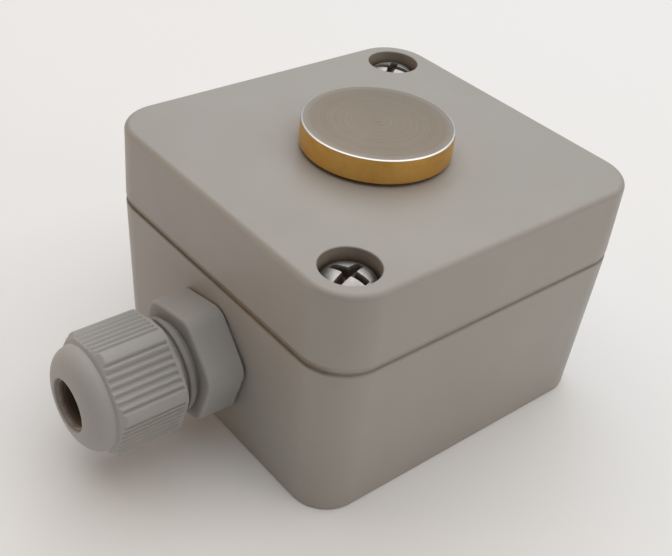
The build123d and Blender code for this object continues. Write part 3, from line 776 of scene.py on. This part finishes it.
NUT_THREAD_RADIUS = 6.08
NUT_BACK_BORE = 6.5
NUT_BACK_LAND = 7.1


def grip_depth(x, angle, radius):
    """Depth of the grip grooves: rounded valleys between rounded ribs, closed at both ends."""
    across = radius * math.sin(from_flat(angle))
    last = (GRIPS - 1) / 2 * GRIP_PITCH
    if abs(across) > last + GRIP_SIDE:
        return 0.0
    if abs(across) > last:
        depth = (1 - (abs(across) - last) / GRIP_SIDE) ** GRIP_SIDE_POWER
    else:
        beside_rib = 2 * abs((across / GRIP_PITCH + 0.5 * (GRIPS + 1)) % 1.0 - 0.5)
        depth = (0.5 - 0.5 * math.cos(math.pi * beside_rib)) ** GRIP_VALLEY
    run = max(0.0, min(1.0, (GRIP_BACK - x) / GRIP_RUN_OUT, (x - GRIP_FRONT) / GRIP_RUN_OUT))
    return GRIP_DEPTH * depth * run * run * (3 - 2 * run)


def build_nut():
    """The dome nut: a hexagon barrel with grooved flats, a necked shoulder and a full dome."""
    b = Builder()
    barrel = [
        (BARREL_BACK, BARREL_BACK_RADIUS),
        (BARREL_BACK - BARREL_EDGE, BARREL_CORNER),
        (BARREL_FRONT + 0.1, BARREL_CORNER),
        (BARREL_FRONT - SHOULDER_BACK, SHOULDER_RADIUS),
        (BARREL_FRONT - NECK_IN_BACK, NECK_IN_RADIUS),
    ]
    dome = []
    for t in np.linspace(0.0, QUARTER, 18):
        radius = NOSE_RADIUS + (DOME_BASE - NOSE_RADIUS) * math.cos(t)
        dome.append((NOSE + DOME_LENGTH * (1 - math.sin(t)), radius))
    outside = soften(barrel + dome, NUT_SOFT, 4)
    levels = [x for x, _ in outside]
    levels += list(np.linspace(GRIP_BACK + 0.02, GRIP_BACK - GRIP_RUN_OUT - 0.02, 7))
    levels += list(np.linspace(BARREL_BACK - 0.6, BARREL_FRONT + 0.1, 14))
    levels += list(np.linspace(BARREL_FRONT, BARREL_FRONT - 1.2, 12))
    levels = sorted(set(round(x, 3) for x in levels), reverse=True)

    def radius_at(x, a):
        hexagon = hexagon_radius(a, NUT_FLATS, NUT_ROUND)
        ribbed = hexagon - grip_depth(x, a, hexagon)
        return soft_min(ribbed, interpolate(outside, x), NUT_BLEND)

    shell = wrapped(b, levels, radius_at, NUT_COUNT)
    bore = [
        (NOSE_RADIUS, NOSE),
        (MOUTH_RADIUS + MOUTH_EDGE, NOSE + MOUTH_EDGE),
        (MOUTH_RADIUS, NOSE + MOUTH_STRAIGHT),
        (MOUTH_RADIUS, NUT_SEAT_X),
        (NUT_SEAT_RADIUS, NUT_SEAT_X),
        (NUT_THREAD_RADIUS, NUT_THREAD_X),
        (NUT_THREAD_RADIUS, BARREL_BACK - 0.5),
        (NUT_BACK_BORE, BARREL_BACK),
        (NUT_BACK_LAND, BARREL_BACK),
    ]
    inner = round_rings(b, soften(bore, NUT_SOFT, 4)[1:-1], NUT_COUNT)
    b.strips(shell + inner)
    b.strip(inner[-1], shell[0])
    return b.finish("dome_nut", 0.0001)


FLANGE_COUNT = 240
FLANGE_BACK = -26.1
FLANGE_FRONT = -31.2
FLANGE_FLATS = 15.0
FLANGE_ROUND = 2.6
FLANGE_EDGE = 0.55
THREAD_PITCH = 1.5
THREAD_DEPTH = 0.55
THREAD_CREST = 1.15
THREAD_RUN_OUT = 0.8
ENTRY_RADIUS = 5.95
ENTRY_TIP_RADIUS = 5.4
ENTRY_START = FLANGE_HIGH.x - 0.5
ENTRY_END = FLANGE_BACK + 0.2
GROOVE_RADIUS = 5.7
COLLAR_RADIUS = 6.38
COLLAR_BACK = -31.9
COLLAR_FRONT = -32.7
NECK_RADIUS = 6.0
NECK_START_RADIUS = 5.75
NECK_START = -33.1
NECK_END = -39.2
CLAW_RADIUS = 5.3
CLAW_TIP_RADIUS = 4.95
CLAW_TIP = -42.7
CLAW_BORE = 4.65
CLAW_BORE_BACK = -35.2
CLAWS = 8
CLAW_SLOT = 0.8
CABLE_BORE = 3.5
ENTRY_MOUTH = 4.2
ENTRY_MOUTH_DEPTH = 0.6


def flange_at(x, a):
    """The hexagon flange, with its front edge rounded."""
    from_end = x - FLANGE_FRONT
    drop = 0.0
    if from_end < FLANGE_EDGE:
        drop = FLANGE_EDGE - math.sqrt(max(0.0, FLANGE_EDGE**2 - (FLANGE_EDGE - from_end) ** 2))
    return hexagon_radius(a, FLANGE_FLATS, FLANGE_ROUND) - drop


def threaded(start, end, outer):
    """A right-hand thread between two x levels, running out at both ends."""

    def radius_at(x, a):
        run = min(1.0, max(0.0, min(start - x, x - end) / THREAD_RUN_OUT))
        phase = (x / THREAD_PITCH + a / FULL_TURN) % 1.0
        ridge = abs(2 * phase - 1)
        return outer - THREAD_DEPTH * min(1.0, ridge * THREAD_CREST) * run

    return radius_at


# Corner numbers of the six faces of a block.
BLOCK_FACES = ("0132", "4675", "0451", "2376", "0264", "1573")


def build_claw_cutter():
    """Eight radial blocks that slot the front of the gland's body into claws."""
    b = Builder()
    for a in angles_round(CLAWS):
        points = []
        for x in (CLAW_TIP - 0.8, NECK_END - 0.2):
            for side in (-CLAW_SLOT / 2, CLAW_SLOT / 2):
                for r in (CLAW_BORE - 0.65, CLAW_RADIUS + 1.0):
                    y = r * math.cos(a) - side * math.sin(a)
                    z = r * math.sin(a) + side * math.cos(a)
                    points.append((x, GLAND_Y - y, GLAND_Z + z))
        v = b.ring(points)
        for corners in BLOCK_FACES:
            b.mesh.faces.new([v[int(k)] for k in corners])
    return b.finish("claw_cutter")


def build_flange():
    """The gland's body: entry thread, hexagon flange, neck thread and claws."""
    b = Builder()
    tip = round_rings(b, [(ENTRY_TIP_RADIUS, FLANGE_HIGH.x)], FLANGE_COUNT)
    entry_thread = threaded(ENTRY_START, ENTRY_END, ENTRY_RADIUS)
    entry = wrapped(b, np.linspace(ENTRY_START, ENTRY_END, 48), entry_thread, FLANGE_COUNT)
    levels = [FLANGE_BACK, FLANGE_BACK - 0.01]
    levels += [FLANGE_FRONT + FLANGE_EDGE * (1 - math.cos(t)) for t in np.linspace(QUARTER, 0, 6)]
    hexagon = wrapped(b, levels, flange_at, FLANGE_COUNT)
    collar = [
        (GROOVE_RADIUS, FLANGE_FRONT - 0.1),
        (GROOVE_RADIUS, COLLAR_BACK),
        (COLLAR_RADIUS, COLLAR_BACK),
        (COLLAR_RADIUS, COLLAR_FRONT),
        (NECK_START_RADIUS, COLLAR_FRONT - 0.1),
        (NECK_START_RADIUS, NECK_START),
    ]
    neck = round_rings(b, soften(collar, 0.18, 3)[:-1], FLANGE_COUNT)
    neck_thread = threaded(NECK_START - 0.1, NECK_END, NECK_RADIUS)
    neck += wrapped(b, np.linspace(NECK_START, NECK_END, 60), neck_thread, FLANGE_COUNT)
    claws = [
        (CLAW_RADIUS, NECK_END - 0.05),
        (CLAW_RADIUS, CLAW_TIP + 0.4),
        (CLAW_TIP_RADIUS, CLAW_TIP),
    ]
    bore = [
        (CLAW_TIP_RADIUS, CLAW_TIP),
        (CLAW_BORE, CLAW_TIP + 0.2),
        (CLAW_BORE, CLAW_BORE_BACK),
        (CABLE_BORE, CLAW_BORE_BACK),
        (CABLE_BORE, FLANGE_HIGH.x - ENTRY_MOUTH_DEPTH),
        (ENTRY_MOUTH, FLANGE_HIGH.x),
    ]
    inside = round_rings(b, claws + soften(bore, 0.2, 3)[1:], FLANGE_COUNT)
    b.strips(tip + entry + hexagon + neck + inside)
    b.strip(inside[-1], tip[0])
    return cut_away(b.finish("gland_flange_body", 0.0002), build_claw_cutter())


INSERT_LIP_X = -45.95
INSERT_LIP = 3.36
INSERT_THROAT_X = -45.3
INSERT_THROAT = 3.08
INSERT_BORE = 2.95
INSERT_RADIUS = 4.55
INSERT_SHOULDER = 0.4
INSERT_SOFT = 0.12
INSERT_BACK_BORE = 3.25
INSERT_BACK_EDGE = 0.3
RIBS = 5
RIB_STEPS = 8
RIB_DEPTH = 0.3
RIBS_START = 1.4


def build_insert():
    """The rubber insert: a funnel mouth seen inside the dome nut, then a ribbed bore."""
    outside = [
        (INSERT_RADIUS, INSERT_HIGH.x),
        (INSERT_RADIUS, INSERT_LOW.x + INSERT_SHOULDER),
        (INSERT_LIP, INSERT_LOW.x - 0.05),
        (INSERT_LIP, INSERT_LIP_X),
        (INSERT_LIP - 0.12, INSERT_LIP_X - 0.06),
        (INSERT_THROAT, INSERT_THROAT_X),
        (INSERT_BORE, INSERT_THROAT_X + 0.3),
        (INSERT_BORE, INSERT_LOW.x + 1.2),
    ]
    profile = [
        (INSERT_BACK_BORE, INSERT_HIGH.x - INSERT_BACK_EDGE),
        (INSERT_BACK_BORE + INSERT_BACK_EDGE, INSERT_HIGH.x),
    ]
    profile += soften(outside, INSERT_SOFT, 3)
    start = INSERT_LOW.x + RIBS_START
    length = INSERT_HIGH.x - 2 * INSERT_BACK_EDGE - start
    steps = RIBS * RIB_STEPS
    for step in range(steps + 1):
        depth = RIB_DEPTH * (0.5 - 0.5 * math.cos(FULL_TURN * step / RIB_STEPS))
        profile.append((INSERT_BORE + depth, start + length * step / steps))
    b = Builder()
    b.lathe(profile, on_gland, MEDIUM, closed=True)
    return b.finish("gland_insert", 0.0002)


# ---- colours ----
WARM_GREY = (0.400, 0.378, 0.348, 1)
WARM_GREY_DARK = (0.376, 0.354, 0.324, 1)
GLAND_GREY = (0.430, 0.420, 0.408, 1)
GLAND_GREY_DARK = (0.398, 0.388, 0.376, 1)
PLASTIC_BLACK = (0.028, 0.028, 0.03, 1)
PLASTIC_BLACK_DARK = (0.02, 0.02, 0.022, 1)
PLASTIC_GREEN = (0.03, 0.20, 0.07, 1)
PLASTIC_GREEN_DARK = (0.024, 0.17, 0.06, 1)
RUBBER_DARK = (0.018, 0.018, 0.018, 1)
RUBBER_GREY = (0.16, 0.15, 0.14, 1)
RUBBER_INSERT = (0.31, 0.265, 0.225, 1)
BRASS_LIGHT = (0.84, 0.51, 0.145, 1)
BRASS_TARNISH = (0.73, 0.42, 0.105, 1)
BRASS_LINE = (0.90, 0.62, 0.25, 1)
SILVER_DARK = (0.200, 0.157, 0.113, 1)
SILVER_LIGHT = (0.285, 0.227, 0.169, 1)
SILVER_BAND = (0.270, 0.228, 0.184, 1)
# Painted reflection on the facing's rim band, and a painted highlight on its edge.
SILVER_RIM_REFLECTION = (0.33, 0.30, 0.27, 1)
SILVER_EDGE_HIGHLIGHT = (0.78, 0.76, 0.73, 1)
SCREW_STEEL = (0.46, 0.44, 0.41, 1)
PLATED_STEEL = (0.60, 0.60, 0.58, 1)
SPRING_STEEL = (0.55, 0.55, 0.56, 1)
MASK_DARK = (0.012, 0.09, 0.035, 1)
MASK_LIGHT = (0.018, 0.125, 0.05, 1)
TRACK_GREEN = (0.05, 0.25, 0.10, 1)
BLACK = (0.0, 0.0, 0.0, 1)
WHITE = (1.0, 1.0, 1.0, 1)
# Painted shade for the case: a warm shade for its screw wells and seam, and a deep shade where
# that is strongest.
WARM_SHADE = (0.235, 0.19, 0.145, 1)
DEEP_SHADE = (0.052, 0.056, 0.060, 1)
# Painted shade for the screws' cross recesses.
RECESS_SHADE = (0.075, 0.05, 0.035, 1)
# Painted shade for the insert's bore.
BORE_SHADE = (0.10, 0.072, 0.05, 1)
# Painted shade for the dome nut's mouth and the gland's neck.
GLAND_SHADE = (0.12, 0.10, 0.085, 1)
FLOOR_PALE = (0.93, 0.93, 0.93, 1)
WORLD_COLOUR = (1.0, 0.95, 0.90, 1)


# ---- materials ----
class Shader:
    """A short way to write a node tree round one Principled shader."""

    def __init__(self, name, **values):
        self.material = bpy.data.materials.new(name)
        self.material.use_nodes = True
        self.tree = self.material.node_tree
        self.bsdf = self.tree.nodes["Principled BSDF"]
        for key, value in values.items():
            self.to(key.replace("_", " "), value)

    def node(self, kind, **sockets):
        """Adds a node and fills its sockets; an underscore in a name stands for a space."""
        node = self.tree.nodes.new(kind)
        for name, value in sockets.items():
            self.put(node, name.replace("_", " "), value)
        return node

    def put(self, node, socket, value):
        """Sets a socket, or links it when the value is an output."""
        target = node.inputs[socket]
        if isinstance(value, bpy.types.NodeSocket):
            self.tree.links.new(value, target)
        else:
            target.default_value = value

    def position(self):
        """The point in the object's frame, in metres."""
        return self.node("ShaderNodeTexCoord").outputs["Object"]

    def noise(self, scale, detail=2.0, roughness=0.5, vector=None, distortion=0.0):
        """A noise between 0 and 1; scale is in cells per metre."""
        place = vector or self.position()
        node = self.node("ShaderNodeTexNoise", Vector=place, Scale=scale, Detail=detail,
                         Roughness=roughness, Distortion=distortion)
        return node.outputs["Fac"]

    def stretch(self, scale):
        """The position scaled along each axis."""
        node = self.node("ShaderNodeMapping", Vector=self.position(), Scale=scale)
        return node.outputs["Vector"]

    def math(self, operation, a, b=0.0):
        """A math node's result."""
        node = self.node("ShaderNodeMath")
        node.operation = operation
        self.put(node, 0, a)
        self.put(node, 1, b)
        return node.outputs[0]

    def remap(self, value, low, high, to_low, to_high):
        """A clamped linear remap."""
        node = self.node("ShaderNodeMapRange", Value=value, From_Min=low, From_Max=high,
                         To_Min=to_low, To_Max=to_high)
        return node.outputs["Result"]

    def mix(self, factor, a, b):
        """A colour between two."""
        node = self.node("ShaderNodeMix")
        node.data_type = "RGBA"
        self.put(node, 0, factor)
        self.put(node, 6, a)
        self.put(node, 7, b)
        return node.outputs[2]

    def fade(self, value, low, high, a, b, most=1.0):
        """A colour that goes from a towards b as a value rises from low to high."""
        return self.mix(self.remap(value, low, high, 0.0, most), a, b)

    def bump(self, height, distance, strength=1.0, after=None):
        """A bump normal; distance is in metres."""
        node = self.node("ShaderNodeBump", Height=height, Distance=distance, Strength=strength)
        if after is not None:
            self.put(node, "Normal", after)
        return node.outputs["Normal"]

    def radius(self):
        """Distance from the Z axis, in metres."""
        split = self.node("ShaderNodeSeparateXYZ", Vector=self.position())
        squares = [self.math("MULTIPLY", axis, axis) for axis in split.outputs[:2]]
        return self.math("SQRT", self.math("ADD", *squares))

    def painted_shade(self):
        """How much painted shade the mesh holds, per vertex."""
        node = self.node("ShaderNodeAttribute")
        node.attribute_name = "painted_shade"
        return node.outputs["Fac"]

    def to(self, socket, value):
        """Sets or links a socket of the Principled shader."""
        self.put(self.bsdf, socket, value)


# Radii of the facing's painted reflection band and its painted highlight edge.
RIM_START = 8.8 * MM
RIM_END = 9.9 * MM
EDGE_END = 10.05 * MM
SPECK_SHADE = 0.8
TINT_SHADE = 0.72
BLOOM_SHADE = 1.8
BLOOM_LIFT = 0.01


def shade(colour, factor, lift=0.0):
    """A colour made darker or lighter."""
    return tuple(min(1.0, c * factor + lift) for c in colour[:3]) + (1.0,)


def moulded(name, light, dark, grain, grain_depth, roughness, specular=0.4, painted_shade=None):
    """Moulded plastic: fine grain and faint flow clouds, darkened by painted shade where the mesh
    is painted.
    """
    s = Shader(name, Specular_IOR_Level=specular)
    clouds = s.noise(55.0, 3.0, 0.55)
    fine = s.noise(grain, 2.0, 0.6)
    specks = s.noise(grain * 0.42, 1.0, 0.5)
    base = s.fade(clouds, 0.3, 0.7, dark, light)
    base = s.fade(specks, 0.62, 0.8, base, shade(dark, SPECK_SHADE), 0.12)
    # Painted shade: the painted share, varied a little by noise, fades to the shade colour and
    # then to the deep shade.
    if painted_shade is not None:
        patchy = s.remap(s.noise(900.0, 3.0, 0.6), 0.25, 0.75, 0.7, 1.0)
        shade_amount = s.math("MULTIPLY", s.painted_shade(), patchy)
        base = s.fade(shade_amount, 0.0, 0.5, base, painted_shade)
        base = s.fade(shade_amount, 0.5, 1.0, base, DEEP_SHADE)
    s.to("Base Color", base)
    worn = s.noise(140.0, 3.0, 0.6)
    s.to("Roughness", s.remap(worn, 0.3, 0.7, roughness - 0.05, roughness + 0.06))
    wavy = s.bump(s.noise(30.0, 1.0, 0.5), 0.00006, 0.25)
    s.to("Normal", s.bump(fine, grain_depth, 0.6, wavy))
    return s.material


def turned_brass():
    """Brass turned on a lathe: fine lines round the axis, faint tarnish."""
    s = Shader("brass_turned", Metallic=1.0, Anisotropic=0.35)
    lines = s.noise(1.0, 2.0, 0.6, s.stretch((220.0, 220.0, 9000.0)))
    tarnish = s.noise(260.0, 4.0, 0.6)
    colour = s.fade(tarnish, 0.35, 0.7, BRASS_LIGHT, BRASS_TARNISH)
    colour = s.fade(lines, 0.4, 0.75, colour, BRASS_LINE, 0.35)
    s.to("Base Color", colour)
    s.to("Roughness", s.remap(tarnish, 0.3, 0.7, 0.36, 0.5))
    s.to("Normal", s.bump(lines, 0.000004, 0.7))
    return s.material


def turned_silver():
    """The facing: concentric turning marks, a paler rim band as a painted reflection, and a
    painted highlight on its edge.
    """
    s = Shader("silver_turned", Metallic=1.0, Anisotropic=0.2)
    tangent = s.node("ShaderNodeTangent")
    tangent.direction_type = "RADIAL"
    tangent.axis = "Z"
    s.put(s.bsdf, "Tangent", tangent.outputs[0])
    radius = s.radius()
    join = s.node("ShaderNodeCombineXYZ", X=radius)
    marks = s.noise(5200.0, 3.0, 0.7, join.outputs[0])
    broad = s.noise(900.0, 2.0, 0.6, join.outputs[0])
    cloud = s.noise(180.0, 3.0, 0.55)
    colour = s.fade(marks, 0.35, 0.7, SILVER_DARK, SILVER_LIGHT)
    colour = s.fade(broad, 0.35, 0.7, colour, SILVER_BAND, 0.3)
    # Painted reflection on the band near the rim, and a painted highlight on the edge all round.
    colour = s.fade(radius, RIM_START, RIM_END, colour, SILVER_RIM_REFLECTION, 0.5)
    colour = s.fade(radius, RIM_END, EDGE_END, colour, SILVER_EDGE_HIGHLIGHT)
    s.to("Base Color", colour)
    s.to("Roughness", s.remap(cloud, 0.3, 0.7, 0.30, 0.40))
    s.to("Normal", s.bump(marks, 0.000009, 0.7))
    return s.material


def steel(name, tint, roughness, painted_shade=None):
    """Bright steel with fine scratches."""
    s = Shader(name, Metallic=1.0)
    scratches = s.noise(2500.0, 4.0, 0.7, None, 0.6)
    stain = s.noise(500.0, 3.0, 0.6)
    colour = s.fade(stain, 0.35, 0.7, tint, shade(tint, TINT_SHADE))
    # Painted shade darkens the steel and dulls its metal where the mesh is painted.
    if painted_shade is not None:
        colour = s.mix(s.painted_shade(), colour, painted_shade)
        s.to("Metallic", s.remap(s.painted_shade(), 0.0, 1.0, 1.0, 0.35))
    s.to("Base Color", colour)
    s.to("Roughness", s.remap(scratches, 0.3, 0.75, roughness - 0.06, roughness + 0.12))
    s.to("Normal", s.bump(scratches, 0.000006, 0.5))
    return s.material


def rubber(name, colour, painted_shade=None):
    """Matt rubber with a dusty bloom, darkened by painted shade where the mesh is painted."""
    s = Shader(name, Specular_IOR_Level=0.3)
    bloom = s.noise(900.0, 4.0, 0.6)
    base = s.fade(bloom, 0.4, 0.8, colour, shade(colour, BLOOM_SHADE, BLOOM_LIFT))
    # Painted shade takes over the rubber's colour where the mesh is painted.
    if painted_shade is not None:
        base = s.mix(s.painted_shade(), base, painted_shade)
    s.to("Base Color", base)
    s.to("Roughness", s.remap(bloom, 0.3, 0.7, 0.7, 0.9))
    s.to("Normal", s.bump(bloom, 0.00001, 0.6))
    return s.material


def circuit_green():
    """Solder mask over a grid of copper tracks."""
    s = Shader("solder_mask", Specular_IOR_Level=0.5, Coat_Weight=0.4, Coat_Roughness=0.15)
    tracks = s.node("ShaderNodeTexBrick", Vector=s.position(), Scale=190.0, Mortar_Size=0.035,
                    Color1=BLACK, Color2=BLACK, Mortar=WHITE)
    weave = s.noise(2600.0, 1.0, 0.5)
    mask = s.fade(weave, 0.3, 0.7, MASK_DARK, MASK_LIGHT)
    share = s.math("MULTIPLY", tracks.outputs["Color"], 0.8)
    s.to("Base Color", s.mix(share, mask, TRACK_GREEN))
    s.to("Roughness", s.remap(weave, 0.3, 0.7, 0.28, 0.38))
    s.to("Normal", s.bump(tracks.outputs["Color"], 0.00003, 0.5))
    return s.material


def dress(obj, material):
    """Gives every face of an object one material."""
    obj.data.materials.clear()
    obj.data.materials.append(material)


# ---- painted shade ----
# Shares of painted shade: up to a half fades to the shade colour, and beyond that to the deep
# shade.
# Painted shade in the seam between lid and base.
SEAM_SHADE = 0.18
SEAM_SHADE_GLAND_SIDE = 0.66
SEAM_SPREAD = 0.35
CORNER_FADE = 2.2
# Painted shade in the screw wells, darkest at their floors.
WELL_SHADE = 0.30
WELL_SHADE_MORE = 0.6
# Painted shade in the dome nut's mouth.
MOUTH_SHADE = 0.2
MOUTH_SHADE_DEPTH = 2.0
# Painted shade round the gland's neck.
NECK_SHADE = 0.22
NECK_SHADE_RADIUS = 6.6
# Painted shade in the screws' cross recesses and on the edge of their heads.
FULL_SHADE_DEPTH = 0.55
SHADED_RIM = 0.35
SHADED_RIM_SHARE = 0.8


def recess_shade(centre, turn):
    """Painted shade in a screw's cross recess and round its rim."""
    cos_turn = math.cos(turn)
    sin_turn = math.sin(turn)

    def value(x, y, z):
        dx = x - centre[0]
        dy = y - centre[1]
        depth = cross_depth(dx * cos_turn + dy * sin_turn, dy * cos_turn - dx * sin_turn)
        rim = max(0.0, (math.hypot(dx, dy) - HEAD_RADIUS + SHADED_RIM) / SHADED_RIM)
        return max(min(1.0, depth / FULL_SHADE_DEPTH), SHADED_RIM_SHARE * min(1.0, rim))

    return value


def seam_shade(x):
    """Painted shade in the seam, more on the gland's side, fading round its corners."""
    share = min(1.0, max(0.0, (CORNER_FADE - HALF_X - x) / CORNER_FADE))
    return SEAM_SHADE + (SEAM_SHADE_GLAND_SIDE - SEAM_SHADE) * share


def lid_shade(x, y, z):
    """Painted shade that darkens the screw wells downwards, warm-tinted, and the lid's edge of the
    seam.
    """
    in_well = min(math.hypot(x - cx, y - cy) for cx, cy in LID_SCREW_CORNERS) < WELL_RADIUS + 0.05
    if in_well and z < TOP_Z - 0.15:
        return WELL_SHADE + WELL_SHADE_MORE * min(1.0, (TOP_Z - z) / (TOP_Z - HEAD_RIM_Z)) ** 3
    share = min(1.0, max(0.0, (SPLIT_Z + LID_LOW_ROUND - z) / LID_LOW_ROUND))
    return seam_shade(x) * share**SEAM_SPREAD


def base_shade(x, y, z):
    """Painted shade on the ledge of the seam."""
    share = min(1.0, max(0.0, (z - RIM_Z + RIM_ROUND) / RIM_ROUND))
    return seam_shade(x) * share


def mouth_shade(x, y, z):
    """Painted shade on the wall of the dome nut's mouth."""
    radius = math.hypot(y - GLAND_Y, z - GLAND_Z)
    in_mouth = radius < NOSE_RADIUS - 0.06 and x < NOSE + MOUTH_SHADE_DEPTH
    return MOUTH_SHADE if in_mouth else 0.0


def neck_shade(x, y, z):
    """Painted shade round the neck between the flange and the dome nut."""
    radius = math.hypot(y - GLAND_Y, z - GLAND_Z)
    return NECK_SHADE if x < FLANGE_FRONT + 0.05 and radius < NECK_SHADE_RADIUS else 0.0


def insert_shade(x, y, z):
    """The insert's bore is dark with painted shade, and its mouth is left clear."""
    return min(1.0, max(0.0, (x - INSERT_LIP_X) / (INSERT_THROAT_X - INSERT_LIP_X))) ** 3


# ---- stage ----
AIM = Vector((0, 0, 0.02))
FLOOR_HALF = 2.0
WORLD_STRENGTH = 0.15


def area_light(name, place, size, power, colour):
    """A square area light that faces the object, in metres and watts."""
    data = bpy.data.lights.new(name, "AREA")
    data.shape = "SQUARE"
    data.size = size
    data.energy = power
    data.color = colour
    light = bpy.data.objects.new(name, data)
    light.location = place
    light.rotation_euler = (AIM - Vector(place)).to_track_quat("-Z", "Y").to_euler()
    bpy.context.scene.collection.objects.link(light)


def build_stage():
    """Pale floor, soft lights and the world."""
    floor_mesh = bpy.data.meshes.new("floor")
    signs = ((-1, -1), (1, -1), (1, 1), (-1, 1))
    corners = [(x * FLOOR_HALF, y * FLOOR_HALF, 0) for x, y in signs]
    floor_mesh.from_pydata(corners, [], [(0, 1, 2, 3)])
    floor = bpy.data.objects.new("floor", floor_mesh)
    bpy.context.scene.collection.objects.link(floor)
    s = Shader("floor_pale", Roughness=0.9, Specular_IOR_Level=0.1)
    s.to("Base Color", FLOOR_PALE)
    dress(floor, s.material)
    area_light("top_softbox", (0.13, 0.03, 0.55), 1.0, 3.92, (1.0, 0.98, 0.96))
    area_light("right_softbox", (0.25, -0.50, 0.25), 0.35, 0.44, (1.0, 0.85, 0.685))
    area_light("left_softbox", (-0.30, 0.30, 0.14), 0.3, 0.302, (1.0, 0.66, 0.42))
    area_light("rear_card", (0.44, 0.47, 0.47), 0.9, 1.25, (0.68, 0.84, 1.0))
    world = bpy.data.worlds.new("studio")
    world.use_nodes = True
    background = world.node_tree.nodes["Background"].inputs
    background["Color"].default_value = WORLD_COLOUR
    background["Strength"].default_value = WORLD_STRENGTH
    bpy.context.scene.world = world
    view = bpy.context.scene.view_settings
    view.view_transform = "Standard"
    view.look = "None"


def build_camera():
    """The camera at the product shot's angle."""
    azimuth = math.radians(-42.819)
    elevation = math.radians(36.152)
    roll = math.radians(6.520)
    distance = 0.146134
    target = Vector((-0.006085, -0.001898, 0.017))
    level = Vector((math.cos(azimuth), math.sin(azimuth), 0))
    back = Vector((level.y, -level.x, math.tan(elevation))).normalized()
    rise = back.cross(level)
    right = math.cos(roll) * level + math.sin(roll) * rise
    up = back.cross(right)
    data = bpy.data.cameras.new("camera")
    data.sensor_fit = "HORIZONTAL"
    data.sensor_width = 36.0
    data.lens = 56.535
    data.clip_start = 0.005
    camera = bpy.data.objects.new("camera", data)
    turn = Matrix((right, up, back)).transposed()
    camera.matrix_world = Matrix.Translation(target + back * distance) @ turn.to_4x4()
    bpy.context.scene.collection.objects.link(camera)
    bpy.context.scene.camera = camera


def place_piece(obj, body, slot, material, *nodes, degrees=35.0):
    """Finishes one visible piece, ties it to its body and hides its CAD nodes; slot is not used.
    """
    smooth(obj, degrees)
    dress(obj, material)
    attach(obj, body)
    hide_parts(*nodes)


def main():
    """Builds the stage and every visible piece, and dresses the CAD nodes that stay."""
    build_camera()
    build_stage()
    # The case and the gland's plastic take painted shade where their meshes are painted.
    case = moulded("case_plastic", WARM_GREY, WARM_GREY_DARK, 5200.0, 10e-6, 0.42, 0.4, WARM_SHADE)
    gland = moulded("gland_polyamide", GLAND_GREY, GLAND_GREY_DARK, 4200.0, 16e-6, 0.56, 0.3,
                    GLAND_SHADE)
    brass = turned_brass()
    silver = turned_silver()
    # Painted shade darkens the screws' cross recesses.
    stainless = steel("screw_stainless", SCREW_STEEL, 0.36, painted_shade=RECESS_SHADE)
    plain_steel = steel("plated_steel", PLATED_STEEL, 0.3)
    spring = steel("spring_steel", SPRING_STEEL, 0.22)
    dark_rubber = rubber("rubber_dark", RUBBER_DARK)
    grey_rubber = rubber("rubber_grey", RUBBER_GREY)
    # Painted shade darkens the insert's bore.
    insert_rubber = rubber("rubber_insert", RUBBER_INSERT, BORE_SHADE)
    black = moulded("black_moulding", PLASTIC_BLACK, PLASTIC_BLACK_DARK, 5000.0, 10e-6, 0.5)
    green = moulded("green_moulding", PLASTIC_GREEN, PLASTIC_GREEN_DARK, 5000.0, 10e-6, 0.42)
    # Each mesh below gets its painted shade from a mask.
    place_piece(paint(build_lid(), lid_shade), "case", "case_grey", case, "lid")
    place_piece(paint(build_base(), base_shade), "case", "case_grey", case, "base_box")
    for (name, turn), centre in zip(CROSS_TURNS.items(), LID_SCREW_CORNERS):
        screw = paint(build_screw(f"lid_screw_{name}", centre, turn), recess_shade(centre, turn))
        place_piece(screw, "case", "stainless", stainless, "lid_screws", degrees=50)
    place_piece(build_disc(), "button", "brass", brass, "button_head")
    place_piece(build_face(), "button", "turned_silver", silver, "button_face_plate", degrees=60)
    coil = build_spring()
    place_piece(coil, "case", "spring_steel", spring, "return_spring", degrees=50)
    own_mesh(coil)
    snap = build_snap_dome()
    place_piece(snap, "case", "spring_steel", spring, "switch_dome", degrees=50)
    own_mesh(snap)
    nut = paint(build_nut(), mouth_shade)
    place_piece(nut, "gland_nut", "gland_grey", gland, "gland_nut", degrees=60)
    flange = paint(build_flange(), neck_shade)
    place_piece(flange, "case", "gland_grey", gland, "gland_body", degrees=50)
    insert = paint(build_insert(), insert_shade)
    place_piece(insert, "gland_seal", "rubber_grey", insert_rubber, "gland_seal")
    kept = (
        (dark_rubber, ("lid_gasket", "bush_gasket", "stem_o_ring")),
        (grey_rubber, ("gland_gasket",)),
        (brass, ("screw_inserts", "guide_bush", "bush_nut", "terminal_clamps")),
        (spring, ("stem_clip", "switch_cover")),
        (plain_steel, ("board_screws", "terminal_screws")),
        (circuit_green(), ("circuit_board",)),
        (black, ("switch_base", "switch_plunger")),
        (green, ("terminal_block",)),
        (gland, ("gland_locknut",)),
    )
    for material, nodes in kept:
        for name in nodes:
            dress(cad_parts[name], material)


main()
